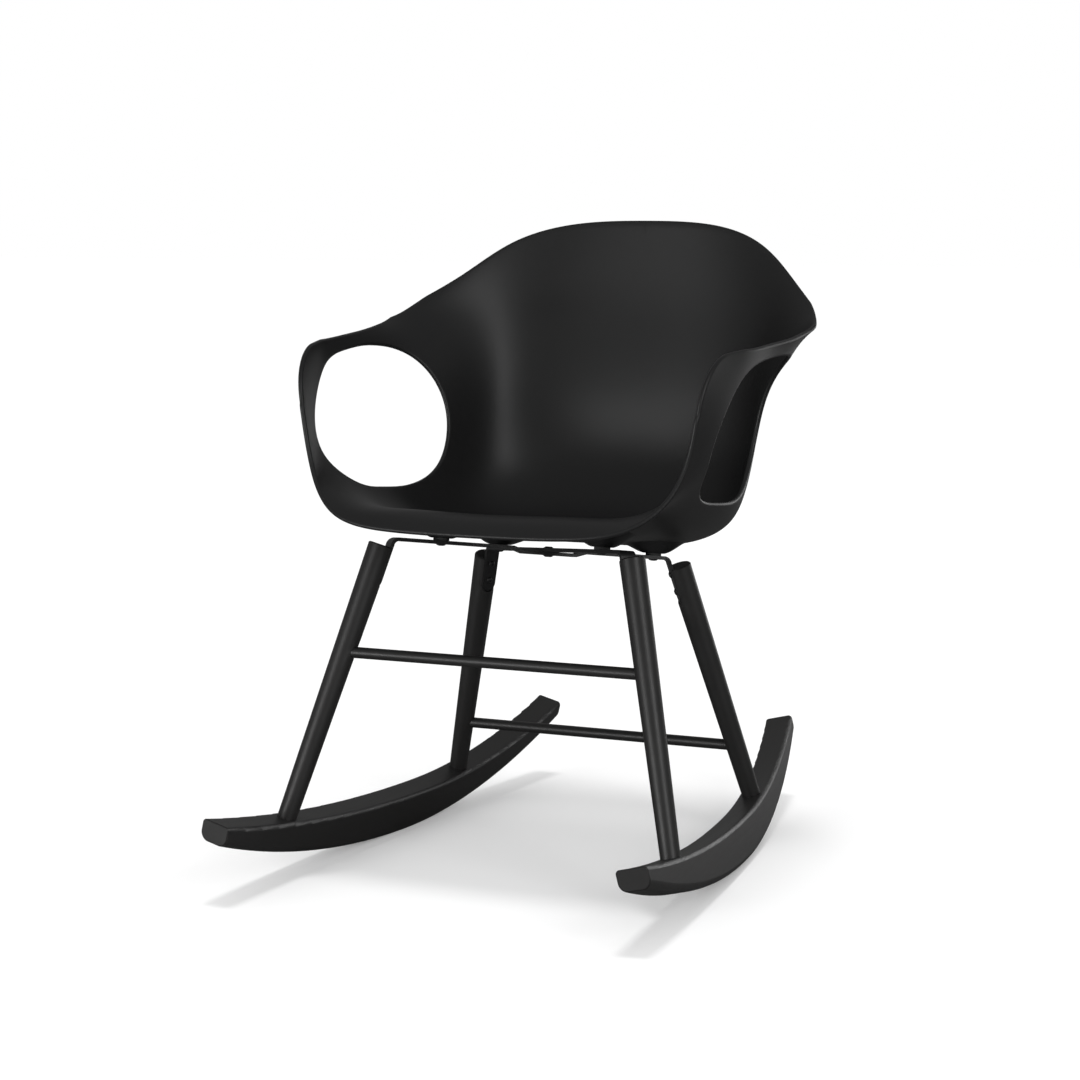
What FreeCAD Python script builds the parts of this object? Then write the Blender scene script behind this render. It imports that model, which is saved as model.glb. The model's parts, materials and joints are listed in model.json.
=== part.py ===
import FreeCAD, Part

import math
import os

import Sketcher

from FreeCAD import Placement, Rotation, Vector

# A moulded plastic rocking chair, in millimetres.
# The seat shell sits on two crossed steel straps. Each strap ends in a tab screwed into a round
# wooden leg, and the legs stand in two curved wooden rockers. The floor is at Z = 0, the sitter
# faces -Y, and the sitter's left is +X. The origin is on the floor, midway between the rockers'
# front and rear ends, and all depths below are counted from the seat's reference point.

# Driving dimensions

SIZES = {
    # seat frame: the plane on top of the straps, tipped back
    "seat_reference_y": -32.5,
    "strap_plane_height": 394.0,
    "seat_tilt_deg": 9.6,
    "leg_front_top_across": 165.0,
    "leg_front_top_depth": -122.0,
    "leg_rear_top_across": 134.0,
    "leg_rear_top_depth": 126.0,
    # steel straps
    "strap_width": 20.0,
    "strap_thickness": 4.5,
    "strap_bend_radius": 6.0,
    "tab_length": 62.0,
    "joggle_inner": 34.0,
    "joggle_outer": 48.0,
    "rivet_diameter": 8.0,
    "rivet_head_diameter": 14.0,
    "rivet_head_height": 2.0,
    # legs
    "leg_top_diameter": 31.5,
    "leg_foot_diameter": 24.0,
    "leg_top_chamfer": 1.5,
    "leg_top_drop": 10.0,
    "leg_socket_depth": 22.0,
    "tab_recess_depth": 7.0,
    "leg_screw_diameter": 5.0,
    "leg_screw_length": 16.0,
    "leg_screw_head_diameter": 9.0,
    "leg_screw_head_height": 2.6,
    "leg_screw_first": 22.0,
    "leg_screw_pitch": 24.0,
    # stretchers, as heights above the floor
    "stretcher_diameter": 14.0,
    "stretcher_socket_depth": 11.0,
    "front_stretcher_height": 274.5,
    "rear_stretcher_height": 121.7,
    # rockers, in their own leaning plane
    "rocker_width": 38.0,
    "rocker_toe_deg": 6.0,
    "rocker_cant_deg": 13.4,
    "rocker_half_spacing": 244.0,
    "rocker_front_reach": 370.0,
    "rocker_rear_reach": 440.0,
    "rocker_low_point": 72.0,
    "rocker_front_radius": 1345.0,
    "rocker_rear_radius": 850.0,
    "rocker_top_low_point": 118.0,
    "rocker_top_height": 48.5,
    "rocker_top_front_radius": 2300.0,
    "rocker_top_rear_radius": 870.0,
    "rocker_top_edge_radius": 5.0,
    "rocker_low_edge_radius": 5.0,
    "rocker_end_edge_radius": 11.0,
    "rocker_end_softening": 1.5,
    "leg_front_station": -216.0,
    "leg_rear_station": 202.0,
    # seat shell
    "shell_thickness": 6.0,
    "arm_corner_front": -185.0,
    "arm_corner_height": 222.5,
    "arm_top_slope_deg": 13.8,
    "arm_corner_radius": 66.0,
    "arm_opening_side_reach": 80.0,
    "wing_corner_across": 299.4,
    "wing_corner_depth": 155.9,
    "wing_corner_turn_deg": 45.0,
    "wing_corner_radius": 130.0,
    # bosses under the shell and what they hold
    "boss_distance": 140.0,
    "boss_tip_diameter": 27.0,
    "boss_root_diameter": 76.0,
    "boss_root_height": 18.0,
    "spacer_diameter": 20.0,
    "spacer_thickness": 3.0,
    "insert_diameter": 9.0,
    "insert_length": 10.0,
    "shell_screw_diameter": 6.0,
    "shell_screw_head_diameter": 12.0,
    "shell_screw_head_height": 2.2,
    # clearances
    "socket_clearance": 0.2,
    "recess_clearance": 0.4,
    "screw_clearance": 0.15,
    "seat_gap": 0.05,
}

# The shell in the seat frame. Each row runs from the centre line out to the arm edge, and gives the
# distance from the centre line, the depth (rearwards positive) and the height above the straps.
RAILS = ("centre", "pan", "corner", "wall", "arm")
SHELL_ROWS = {
    "lip": ((0, -217, 2), (110, -215, 4), (192, -203, 22), (242, -180, 92), (263, -200, 224)),
    "crest": ((0, -198, 21), (108, -196, 23), (190, -183, 34), (250, -156, 101), (267, -168, 232)),
    "front": ((0, -74, 18), (104, -74, 20), (194, -74, 39), (256, -80, 112), (281, -97, 244)),
    "middle": ((0, 68, 17), (106, 68, 18), (199, 62, 41), (243, 41, 119), (287, -23, 259)),
    "rear": ((0, 188, 26), (112, 188, 29), (190, 168, 61), (226, 119, 141), (292, 40, 273)),
    "bend": ((0, 270, 102), (103, 262, 104), (184, 222, 127), (224, 152, 194), (294, 84, 285)),
    "lumbar": ((0, 278, 215), (100, 270, 217), (180, 236, 229), (228, 174, 257), (296, 113, 294)),
    "shoulder": ((0, 284, 336), (98, 276, 335), (181, 246, 330), (241, 194, 319), (296, 137, 304)),
    "top": ((0, 285, 457), (95, 276, 451), (175, 249, 422), (235, 214, 369), (293, 156, 313)),
}

# The arm opening seen from the side, in the seat frame: depth and height of points round it.
OPENING = {
    "front": (-136, 122),
    "front_low": (-125, 92),
    "low_front": (-92, 71),
    "low": (-4, 66),
    "low_rear": (75, 76),
    "rear_low": (133, 106),
    "rear": (157, 160),
    "rear_high": (149, 208),
    "high_rear": (118, 248),
    "high": (66, 255),
    "high_front": (-25, 239),
    "front_high": (-90, 212),
    "front_upper": (-124, 168),
}

# How often the two folds of a strap are settled against each other
SETTLING_TURNS = 8

# Number of shell grid lines across and along
GRID_ACROSS = 41
GRID_ALONG = 37

CROSS_REACH = 400.0
FRAME_SIDES = {"left": 1, "right": -1}

doc = FreeCAD.newDocument("RockingChair")


# The sheet of sizes

def fill_sheet():
    """Write every driving dimension into the sheet, one alias to a row."""
    sheet = doc.addObject("Spreadsheet::Sheet", "Sizes")
    values = dict(SIZES)
    for row_name, points in SHELL_ROWS.items():
        for rail, (across, depth, height) in zip(RAILS, points):
            if rail != "centre":
                values[f"{row_name}_{rail}_across"] = across
            values[f"{row_name}_{rail}_depth"] = depth
            values[f"{row_name}_{rail}_height"] = height
    for name, (depth, height) in OPENING.items():
        values[f"opening_{name}_depth"] = depth
        values[f"opening_{name}_height"] = height
    for row, (alias, value) in enumerate(values.items(), start=1):
        sheet.set(f"A{row}", alias)
        sheet.set(f"B{row}", str(value))
        sheet.setAlias(f"B{row}", alias)
    doc.recompute()
    return sheet


sheet = fill_sheet()


def size(alias):
    """The value of one driving dimension."""
    return float(sheet.get(alias))


# Frames and points that several pieces share

TILT = math.radians(size("seat_tilt_deg"))
REFERENCE = Vector(0, size("seat_reference_y"), 0)
SEAT_FRAME = Placement(
    REFERENCE + Vector(0, 0, size("strap_plane_height")),
    Rotation(Vector(1, 0, 0), -size("seat_tilt_deg")),
)


def below_straps(depth, below):
    """Height of a plane parallel to the strap plane and below it, at a depth behind the reference."""
    return size("strap_plane_height") - depth * math.tan(TILT) - below / math.cos(TILT)


def rocker_plane():
    """The leaning, toed-out plane of the left rocker, with its lowest point on the floor."""
    lean = math.radians(size("rocker_cant_deg"))
    edge = size("rocker_low_edge_radius")
    lift = (size("rocker_width") / 2 - edge) * math.sin(lean) + edge * (1 - math.cos(lean))
    toe = Rotation(Vector(0, 0, 1), size("rocker_toe_deg"))
    cant = Rotation(Vector(0, 1, 0), -size("rocker_cant_deg"))
    return Placement(REFERENCE + Vector(size("rocker_half_spacing"), 0, lift), toe.multiply(cant))


ROCKER_PLANE = rocker_plane()


def rocker_top(station):
    """Height of the rocker's top above its own base line at a station along it."""
    offset = station - size("rocker_top_low_point")
    radius = size("rocker_top_front_radius") if offset < 0 else size("rocker_top_rear_radius")
    return size("rocker_top_height") + radius - math.sqrt(radius ** 2 - offset ** 2)


def rocker_bottom(station):
    """Height of the rocker's underside above its own base line at a station along it."""
    offset = station - size("rocker_low_point")
    radius = size("rocker_front_radius") if offset < 0 else size("rocker_rear_radius")
    return radius - math.sqrt(radius ** 2 - offset ** 2)


class LegLine:
    """The axis of one leg of the left side, from its foot on the rocker to its top."""

    def __init__(self, end):
        station = size(f"leg_{end}_station")
        self.end = end
        self.foot = ROCKER_PLANE.multVec(Vector(0, station, rocker_top(station)))
        depth = size(f"leg_{end}_top_depth")
        height = below_straps(depth, size("leg_top_drop"))
        self.top = REFERENCE + Vector(size(f"leg_{end}_top_across"), depth, height)
        self.length = (self.top - self.foot).Length
        self.up = (self.top - self.foot).normalize()

    def at_height(self, height):
        """The point of the axis at a height above the floor."""
        share = (height - self.foot.z) / (self.top.z - self.foot.z)
        return self.foot + (self.top - self.foot) * share


LEGS = {end: LegLine(end) for end in ("front", "rear")}

SEAT_UP = SEAT_FRAME.Rotation.multVec(Vector(0, 0, 1))


class Fold:
    """Where a strap bends down into a tab, for the strap from the left front leg to the right rear one.

    The run of the strap lies in the seat plane and the tab lies along its leg. The fold line makes
    the same angle with both, as it does in a bent flat bar.
    """

    def __init__(self, end, outward):
        sign = 1 if end == "front" else -1
        line_ = LEGS[end]
        self.end = end
        self.outward = outward
        self.down = Vector(-sign * line_.up.x, -line_.up.y, -line_.up.z)
        self.line = SEAT_UP.cross(outward - self.down).normalize()
        self.angle = math.degrees(self.fold_angle())
        self.out_normal = Rotation(self.line, self.angle).multVec(SEAT_UP)
        self.inward = self.out_normal * -1
        half = size("strap_thickness") / 2
        leg_top = Vector(sign * line_.top.x, line_.top.y, line_.top.z)
        floor = size("leg_top_diameter") / 2 - size("tab_recess_depth")
        on_tab = leg_top + self.inward * (floor + half)
        reach = (SEAT_FRAME.Base - SEAT_UP * half - on_tab).dot(SEAT_UP) / self.down.dot(SEAT_UP)
        self.corner = on_tab + self.down * reach

    def fold_angle(self):
        """The angle from the run to the tab, about the fold line."""
        across_run = self.outward - self.line * self.outward.dot(self.line)
        across_tab = self.down - self.line * self.down.dot(self.line)
        return across_run.getAngle(across_tab)

    def point(self, down=0.0, inward=0.0):
        """A point of the tab, below the fold and off its middle plane."""
        return self.corner + self.down * down + self.inward * inward

    def tip(self):
        return self.point(down=size("tab_length"))


def settle_folds():
    """Both folds of a strap, settled together because the run joins one corner to the other."""
    run = SEAT_FRAME.Rotation.multVec(Vector(
        size("leg_front_top_across") + size("leg_rear_top_across"),
        size("leg_front_top_depth") - size("leg_rear_top_depth"),
        0,
    )).normalize()
    for _ in range(SETTLING_TURNS):
        front = Fold("front", run)
        rear = Fold("rear", run * -1)
        run = (front.corner - rear.corner).normalize()
    return {"front": front, "rear": rear}, run


FOLDS, RUN = settle_folds()
RUN_SIDE = SEAT_UP.cross(RUN)

# The crossing lies in the chair's middle plane, on top of the straps.
CROSSING = FOLDS["rear"].corner + SEAT_UP * (size("strap_thickness") / 2)
CROSSING = CROSSING - RUN * (CROSSING.x / RUN.x)


def flip(vector):
    """The same vector on the other side of the chair."""
    return Vector(-vector.x, vector.y, vector.z)


# Small helpers for the document

def add(kind, name, **properties):
    """Add an object, set its plain properties and return it."""
    obj = doc.addObject(kind, name)
    for key, value in properties.items():
        setattr(obj, key, value)
    return obj


def bind(obj, **expressions):
    """Bind properties of an object to expressions on the sheet."""
    for key, expression in expressions.items():
        obj.setExpression(key, expression)


def along(position, direction):
    """A placement at a point with its own Z axis along a direction."""
    return Placement(position, Rotation(Vector(0, 0, 1), direction))


def rod(name, position, direction, radius, length):
    """A cylinder along a direction, its radius and length bound to the sheet."""
    obj = add("Part::Cylinder", name)
    bind(obj, Radius=radius, Height=length)
    obj.Placement = along(position, direction)
    return obj


def group(name, members):
    """Several separate solids under one label."""
    obj = add("Part::Compound", name, Links=members)
    obj.Label = name
    return obj


def body_sketch(body, role, name):
    """A sketch on one of a body's own origin planes."""
    plane = next(feature for feature in body.Origin.OriginFeatures if feature.Role == role)
    sketch = body.newObject("Sketcher::SketchObject", name)
    sketch.AttachmentSupport = [(plane, "")]
    sketch.MapMode = "FlatFace"
    return sketch


def draw(sketch, pieces):
    """Add lines and arcs in order and join each end to the next start."""
    for piece in pieces:
        sketch.addGeometry(piece, False)
    count = len(pieces)
    for index in range(count):
        sketch.addConstraint(Sketcher.Constraint("Coincident", index, 2, (index + 1) % count, 1))


def line(start, end):
    """A sketch line between two points of a plane."""
    return Part.LineSegment(Vector(*start, 0), Vector(*end, 0))


# Legs

def leg_profile(end):
    """Half outline of a leg, turned about its axis: a straight foot, a long taper and a chamfer."""
    foot = size("leg_foot_diameter") / 2
    top = size("leg_top_diameter") / 2
    chamfer = size("leg_top_chamfer")
    depth = size("leg_socket_depth") - size("seat_gap")
    length = LEGS[end].length
    corners = [(0, -depth), (foot, -depth), (foot, 0), (top, length - chamfer), (top - chamfer, length), (0, length)]
    return [line(a, b) for a, b in zip(corners, corners[1:] + corners[:1])]


def turned_leg(name, end, side):
    """A leg turned in wood, standing on its foot point."""
    body = add("PartDesign::Body", f"{name}_turned")
    sketch = body_sketch(body, "XZ_Plane", f"{name}_outline")
    draw(sketch, leg_profile(end))
    turned = body.newObject("PartDesign::Revolution", f"{name}_revolved")
    turned.Profile = sketch
    turned.ReferenceAxis = (sketch, ["V_Axis"])
    turned.Angle = 360
    sketch.Visibility = False
    leg = LEGS[end]
    if side > 0:
        body.Placement = along(leg.foot, leg.up)
    else:
        body.Placement = along(flip(leg.foot), flip(leg.up))
    return body


def tab_cutter(name, fold):
    """The slot with a round lower end that takes a tab, reaching out past the leg."""
    gap = size("recess_clearance")
    half_width = size("strap_width") / 2 + gap
    start = -size("strap_width")
    end_centre = size("tab_length") - size("strap_width") / 2
    corners = [Vector(0, -half_width, start), Vector(0, -half_width, end_centre)]
    corners += [Vector(0, half_width, end_centre), Vector(0, half_width, start)]
    arc = Part.Arc(corners[1], Vector(0, 0, end_centre + half_width), corners[2])
    outline = Part.Wire([
        Part.LineSegment(corners[0], corners[1]).toShape(),
        arc.toShape(),
        Part.LineSegment(corners[2], corners[3]).toShape(),
        Part.LineSegment(corners[3], corners[0]).toShape(),
    ])
    cutter = add("Part::Feature", name)
    cutter.Shape = Part.Face(outline).extrude(Vector(size("leg_top_diameter"), 0, 0))
    floor = fold.point(inward=-size("strap_thickness") / 2 - size("seat_gap"))
    cutter.Placement = Placement(floor, Rotation(fold.inward, fold.down.cross(fold.inward), fold.down, "ZXY"))
    return cutter


def screw_faces(fold):
    """Where the screws enter a tab, on its face towards the middle of the chair."""
    half = size("strap_thickness") / 2
    downs = [size("leg_screw_first") + index * size("leg_screw_pitch") for index in range(2)]
    return [fold.point(down, half) for down in downs]


def make_leg(end):
    """A turned leg with its tab recess, screw holes and stretcher socket, and its mirror image.

    The front leg is built on the left and the rear one on the right, at the ends of one strap.
    """
    fold = FOLDS[end]
    side_name = "left" if end == "front" else "right"
    other_name = "right" if end == "front" else "left"
    side = FRAME_SIDES[side_name]
    name = f"leg_{end}_{side_name}"
    turned = turned_leg(name, end, side)
    cutters = [tab_cutter(f"{name}_recess", fold)]
    for index, face in enumerate(screw_faces(fold)):
        start = face + fold.inward * size("leg_screw_head_height")
        cutters.append(rod(
            f"{name}_pilot_{index + 1}", start, fold.out_normal,
            "Sizes.leg_screw_diameter / 2 + Sizes.screw_clearance",
            "Sizes.leg_screw_length + Sizes.leg_screw_head_height + Sizes.screw_clearance",
        ))
    cutters.append(stretcher_socket(f"{name}_socket", end, side))
    tools = add("Part::MultiFuse", f"{name}_cuts", Shapes=cutters)
    leg = add("Part::Cut", name, Base=turned, Tool=tools)
    leg.Label = name
    return [leg, mirrored(leg, f"leg_{end}_{other_name}")]


def mirrored(source, name):
    """The mirror image of a piece on the other side of the chair."""
    copy = add("Part::Mirroring", name, Source=source, Normal=Vector(1, 0, 0), Base=Vector(0, 0, 0))
    copy.Label = name
    return copy


def stretcher_socket(name, end, side):
    """The blind hole for a stretcher, drilled level from the inner side of a leg."""
    start = Vector(side * stretcher_reach(end), LEGS[end].at_height(size(f"{end}_stretcher_height")).y,
                   size(f"{end}_stretcher_height"))
    return rod(
        name, start, Vector(-side, 0, 0),
        "Sizes.stretcher_diameter / 2 + Sizes.socket_clearance",
        "Sizes.stretcher_socket_depth + Sizes.leg_top_diameter",
    )


def stretcher_reach(end):
    """Distance from the middle of the chair to the bottom of a stretcher's socket."""
    height = size(f"{end}_stretcher_height")
    inner_side = LEGS[end].at_height(height).x - leg_radius_at(end, height)
    return inner_side + size("stretcher_socket_depth")


def leg_radius_at(end, height):
    """Radius of a leg at a height above the floor."""
    line_ = LEGS[end]
    share = (height - line_.foot.z) / (line_.top.z - line_.foot.z)
    foot = size("leg_foot_diameter") / 2
    top = size("leg_top_diameter") / 2
    return foot + (top - foot) * share


def make_stretcher(end):
    """A round dowel between two legs, its ends in their sockets."""
    name = f"{end}_stretcher"
    height = size(f"{end}_stretcher_height")
    reach = stretcher_reach(end) - size("seat_gap")
    dowel = add("Part::Cylinder", name, Height=2 * reach)
    bind(dowel, Radius="Sizes.stretcher_diameter / 2")
    dowel.Placement = along(Vector(-reach, LEGS[end].at_height(height).y, height), Vector(1, 0, 0))
    dowel.Label = name
    return dowel


# Rockers

def rocker_outline():
    """Side outline of a rocker: two arcs under it, two over it and a straight cut at each end."""
    front = -size("rocker_front_reach")
    rear = size("rocker_rear_reach")
    low = size("rocker_low_point")
    top_low = size("rocker_top_low_point")

    def arc(from_station, to_station, height_at):
        middle = (from_station + to_station) / 2
        points = [Vector(s, height_at(s), 0) for s in (from_station, middle, to_station)]
        return Part.Arc(*points)

    return [
        arc(front, low, rocker_bottom),
        arc(low, rear, rocker_bottom),
        line((rear, rocker_bottom(rear)), (rear, rocker_top(rear))),
        arc(rear, top_low, rocker_top),
        arc(top_low, front, rocker_top),
        line((front, rocker_top(front)), (front, rocker_bottom(front))),
    ]


def rocker_blank(name):
    """The rocker sawn to its outline, before its edges are rounded."""
    body = add("PartDesign::Body", f"{name}_blank")
    sketch = body_sketch(body, "YZ_Plane", f"{name}_outline")
    for piece in rocker_outline():
        sketch.addGeometry(piece, False)
    pad = body.newObject("PartDesign::Pad", f"{name}_pad")
    pad.Profile = sketch
    pad.SideType = 2
    bind(pad, Length="Sizes.rocker_width")
    sketch.Visibility = False
    return body


def middle_of(edge):
    """The point halfway along an edge."""
    return edge.valueAt((edge.FirstParameter + edge.LastParameter) / 2)


def long_edges(shape, low):
    """The lower or the upper long edges on both flat sides of a rocker."""
    half_width = size("rocker_width") / 2
    chosen = []
    for edge in shape.Edges:
        middle = middle_of(edge)
        points = [vertex.Point for vertex in edge.Vertexes] + [middle]
        on_side = all(abs(abs(point.x) - half_width) < 1e-3 for point in points)
        height = rocker_bottom(middle.y) if low else rocker_top(middle.y)
        if on_side and abs(middle.z - height) < 1e-2:
            chosen.append(edge)
    return chosen


def soften(shape):
    """Round a rocker's long edges, the lower ones more and more towards the ends."""
    low_point = size("rocker_low_point")
    width = size("rocker_width")
    end_radius = size("rocker_end_edge_radius")
    low_radius = size("rocker_low_edge_radius")
    halves = []
    for sign, reach in ((-1, size("rocker_front_reach")), (1, size("rocker_rear_reach"))):
        length = reach - sign * low_point
        start = low_point if sign > 0 else -reach
        slab = Part.makeBox(width * 2, length, reach, Vector(-width, start, -1))
        half = shape.common(slab)
        for edge in long_edges(half, low=True):
            first = edge.valueAt(edge.FirstParameter)
            last = edge.valueAt(edge.LastParameter)
            starts_low = abs(first.y - low_point) < abs(last.y - low_point)
            radii = (low_radius, end_radius) if starts_low else (end_radius, low_radius)
            half = half.makeFillet(radii[0], radii[1], [nearest_edge(half, edge)])
        half = half.makeFillet(size("rocker_top_edge_radius"), long_edges(half, low=False))
        halves.append(half)
    joined = halves[0].fuse(halves[1])
    rim = []
    for edge in joined.Edges:
        if edge.Degenerated:
            continue
        points = [vertex.Point for vertex in edge.Vertexes] + [middle_of(edge)]
        for reach in (-size("rocker_front_reach"), size("rocker_rear_reach")):
            if all(abs(point.y - reach) < 1e-3 for point in points):
                rim.append(edge)
    return joined.makeChamfer(size("rocker_end_softening"), rim)


def nearest_edge(shape, wanted):
    """The edge of a shape whose middle is nearest to the middle of another one."""
    target = middle_of(wanted)
    return min(shape.Edges, key=lambda edge: (middle_of(edge) - target).Length)


def make_rockers():
    """The left rocker, with rounded edges and a round socket for each leg, and its mirror image."""
    name = "rocker_left"
    blank = rocker_blank(name)
    doc.recompute()
    rounded = add("Part::Feature", f"{name}_rounded")
    rounded.Shape = soften(blank.Shape)
    rounded.Placement = ROCKER_PLANE
    sockets = []
    for end, leg in LEGS.items():
        start = leg.foot - leg.up * size("leg_socket_depth")
        sockets.append(rod(
            f"{name}_socket_{end}", start, leg.up,
            "Sizes.leg_foot_diameter / 2 + Sizes.socket_clearance",
            "Sizes.leg_socket_depth * 2",
        ))
    tools = add("Part::MultiFuse", f"{name}_sockets", Shapes=sockets)
    rocker = add("Part::Cut", name, Base=rounded, Tool=tools)
    rocker.Label = name
    return [rocker, mirrored(rocker, "rocker_right")]


# Straps

def bar_section(centre, side, normal):
    """The rectangular section of a strap, across it."""
    half_width = side * (size("strap_width") / 2)
    half = normal * (size("strap_thickness") / 2)
    corners = [centre + half_width + half, centre - half_width + half]
    corners += [centre - half_width - half, centre + half_width - half]
    return Part.makePolygon(corners + corners[:1])


def bend_solid(fold):
    """The bent part of a strap, turned about the fold's axis, and where it starts and ends."""
    radius = size("strap_bend_radius") + size("strap_thickness") / 2
    sine = fold.outward.cross(fold.line).Length
    setback = radius * math.tan(math.radians(fold.angle) / 2) / sine
    start = fold.corner - fold.outward * setback
    finish = fold.corner + fold.down * setback
    axis_point = start - SEAT_UP * radius
    side = SEAT_UP.cross(fold.outward)
    turned_end = axis_point + Rotation(fold.line, fold.angle).multVec(start - axis_point)
    creep = finish - turned_end
    count = 6
    sections = []
    for step in range(count + 1):
        share = step / count
        turn = Rotation(fold.line, fold.angle * share)
        centre = axis_point + turn.multVec(start - axis_point) + creep * share
        sections.append(bar_section(centre, turn.multVec(side), turn.multVec(SEAT_UP)))
    return Part.makeLoft(sections, True, False), start, finish


def tab_solid(fold, start):
    """The straight tab below a bend, with a round lower end."""
    half_width = size("strap_width") / 2
    side = fold.out_normal.cross(fold.down)
    half = fold.out_normal * (size("strap_thickness") / 2)
    round_centre = fold.tip() - fold.down * half_width
    path = [start + side * half_width, round_centre + side * half_width, fold.tip()]
    path += [round_centre - side * half_width, start - side * half_width]
    path = [point - half for point in path]
    outline = Part.Wire([
        Part.LineSegment(path[0], path[1]).toShape(),
        Part.Arc(path[1], path[2], path[3]).toShape(),
        Part.LineSegment(path[3], path[4]).toShape(),
        Part.LineSegment(path[4], path[0]).toShape(),
    ])
    return Part.Face(outline).extrude(half * 2)


def run_path(start, finish, lower):
    """Corner points of a run's middle line; the lower strap steps down under the upper one."""
    points = [start]
    if lower:
        centre = CROSSING - SEAT_UP * (size("strap_thickness") / 2)
        drop = SEAT_UP * (size("strap_thickness") + size("seat_gap"))
        outer = size("joggle_outer")
        inner = size("joggle_inner")
        points.append(centre - RUN * outer)
        points.append(centre - RUN * inner - drop)
        points.append(centre + RUN * inner - drop)
        points.append(centre + RUN * outer)
    return points + [finish]


def run_solid(points):
    """A flat bar along a path in the run's upright plane, with mitred steps."""
    edges = []
    for sign in (1, -1):
        offset = []
        for index, point in enumerate(points):
            before = points[max(index, 1)] - points[max(index, 1) - 1]
            after = points[min(index + 1, len(points) - 1)] - points[min(index, len(points) - 2)]
            first = before.cross(RUN_SIDE).normalize()
            second = after.cross(RUN_SIDE).normalize()
            middle = (first + second).normalize()
            reach = sign * size("strap_thickness") / 2 / middle.dot(first)
            offset.append(point + middle * reach)
        edges.append(offset)
    corners = edges[0] + edges[1][::-1]
    shift = RUN_SIDE * (size("strap_width") / 2)
    outline = Part.makePolygon([corner - shift for corner in corners + corners[:1]])
    return Part.Face(outline).extrude(shift * 2)


def square_hole(name, position, direction, diameter):
    """A hole through a strap, drilled square to it from either face."""
    start = position - direction * size("strap_thickness") * 2
    return rod(name, start, direction, f"Sizes.{diameter} / 2 + Sizes.screw_clearance",
               "Sizes.strap_thickness * 4")


def make_strap(name, lower):
    """A bent steel strap with round tab ends and its holes, from the left front to the right rear."""
    front_bend, front_start, front_end = bend_solid(FOLDS["front"])
    rear_bend, rear_start, rear_end = bend_solid(FOLDS["rear"])
    run = run_solid(run_path(rear_start, front_start, lower))
    tabs = [tab_solid(FOLDS["front"], front_end), tab_solid(FOLDS["rear"], rear_end)]
    bar = run.fuse([front_bend, rear_bend] + tabs).removeSplitter()
    blank = add("Part::Feature", f"{name}_blank")
    blank.Shape = bar
    holes = []
    for end, fold in FOLDS.items():
        for index, face in enumerate(screw_faces(fold)):
            holes.append(square_hole(f"{name}_{end}_hole_{index + 1}", face, fold.out_normal,
                                     "leg_screw_diameter"))
    for index, distance in enumerate((-size("boss_distance"), size("boss_distance"))):
        holes.append(square_hole(f"{name}_boss_hole_{index + 1}", CROSSING + RUN * distance, SEAT_UP,
                                 "shell_screw_diameter"))
    middle = CROSSING - SEAT_UP * size("strap_thickness")
    holes.append(square_hole(f"{name}_rivet_hole", middle, SEAT_UP, "rivet_diameter"))
    tools = add("Part::MultiFuse", f"{name}_holes", Shapes=holes)
    strap = add("Part::Cut", name, Base=blank, Tool=tools)
    strap.Label = name
    return strap


def make_straps():
    """The upper strap, and the lower one that crosses it the other way."""
    upper = make_strap("strap_upper", lower=False)
    stepped = make_strap("strap_stepped", lower=True)
    return [upper, mirrored(stepped, "strap_lower")]


def boss_points():
    """The four boss positions on top of the straps, two on each."""
    reach = size("boss_distance")
    on_upper = [CROSSING + RUN * distance for distance in (-reach, reach)]
    return on_upper + [flip(point) for point in on_upper]


def make_rivet():
    """The rivet that clamps the crossing, with a low head above and below."""
    top = CROSSING
    gap = size("seat_gap")
    bottom = top - SEAT_UP * (2 * size("strap_thickness") + 2 * gap)
    shank = rod("cross_rivet_shank", bottom, SEAT_UP, "Sizes.rivet_diameter / 2",
                "2 * Sizes.strap_thickness + 3 * Sizes.seat_gap")
    upper = add("Part::Cone", "cross_rivet_upper_head")
    bind(upper, Radius1="Sizes.rivet_head_diameter / 2", Radius2="Sizes.rivet_diameter / 2",
         Height="Sizes.rivet_head_height")
    upper.Placement = along(top + SEAT_UP * gap, SEAT_UP)
    lower = add("Part::Cone", "cross_rivet_lower_head")
    bind(lower, Radius1="Sizes.rivet_head_diameter / 2", Radius2="Sizes.rivet_diameter / 2",
         Height="Sizes.rivet_head_height")
    lower.Placement = along(bottom, SEAT_UP * -1)
    rivet = add("Part::MultiFuse", "cross_rivet", Shapes=[shank, upper, lower])
    rivet.Label = "cross_rivet"
    return rivet


# Seat shell

def natural_spline(stations, values):
    """A smooth curve through values at increasing stations, straight at both ends."""
    count = len(stations)
    gaps = [stations[i + 1] - stations[i] for i in range(count - 1)]
    slopes = [(values[i + 1] - values[i]) / gaps[i] for i in range(count - 1)]
    diagonal = [1.0] * count
    upper = [0.0] * count
    right = [0.0] * count
    for i in range(1, count - 1):
        weight = 2 * (gaps[i - 1] + gaps[i]) - gaps[i - 1] * upper[i - 1]
        diagonal[i] = weight
        upper[i] = gaps[i] / weight
        right[i] = (6 * (slopes[i] - slopes[i - 1]) - gaps[i - 1] * right[i - 1]) / weight
    bends = [0.0] * count
    for i in range(count - 2, 0, -1):
        bends[i] = right[i] - upper[i] * bends[i + 1]

    def value_at(station):
        i = 0
        while i < count - 2 and station > stations[i + 1]:
            i += 1
        left = station - stations[i]
        rest = stations[i + 1] - station
        gap = gaps[i]
        cubic = (bends[i] * rest ** 3 + bends[i + 1] * left ** 3) / (6 * gap)
        start = (values[i] / gap - bends[i] * gap / 6) * rest
        end = (values[i + 1] / gap - bends[i + 1] * gap / 6) * left
        return cubic + start + end

    return value_at


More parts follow.
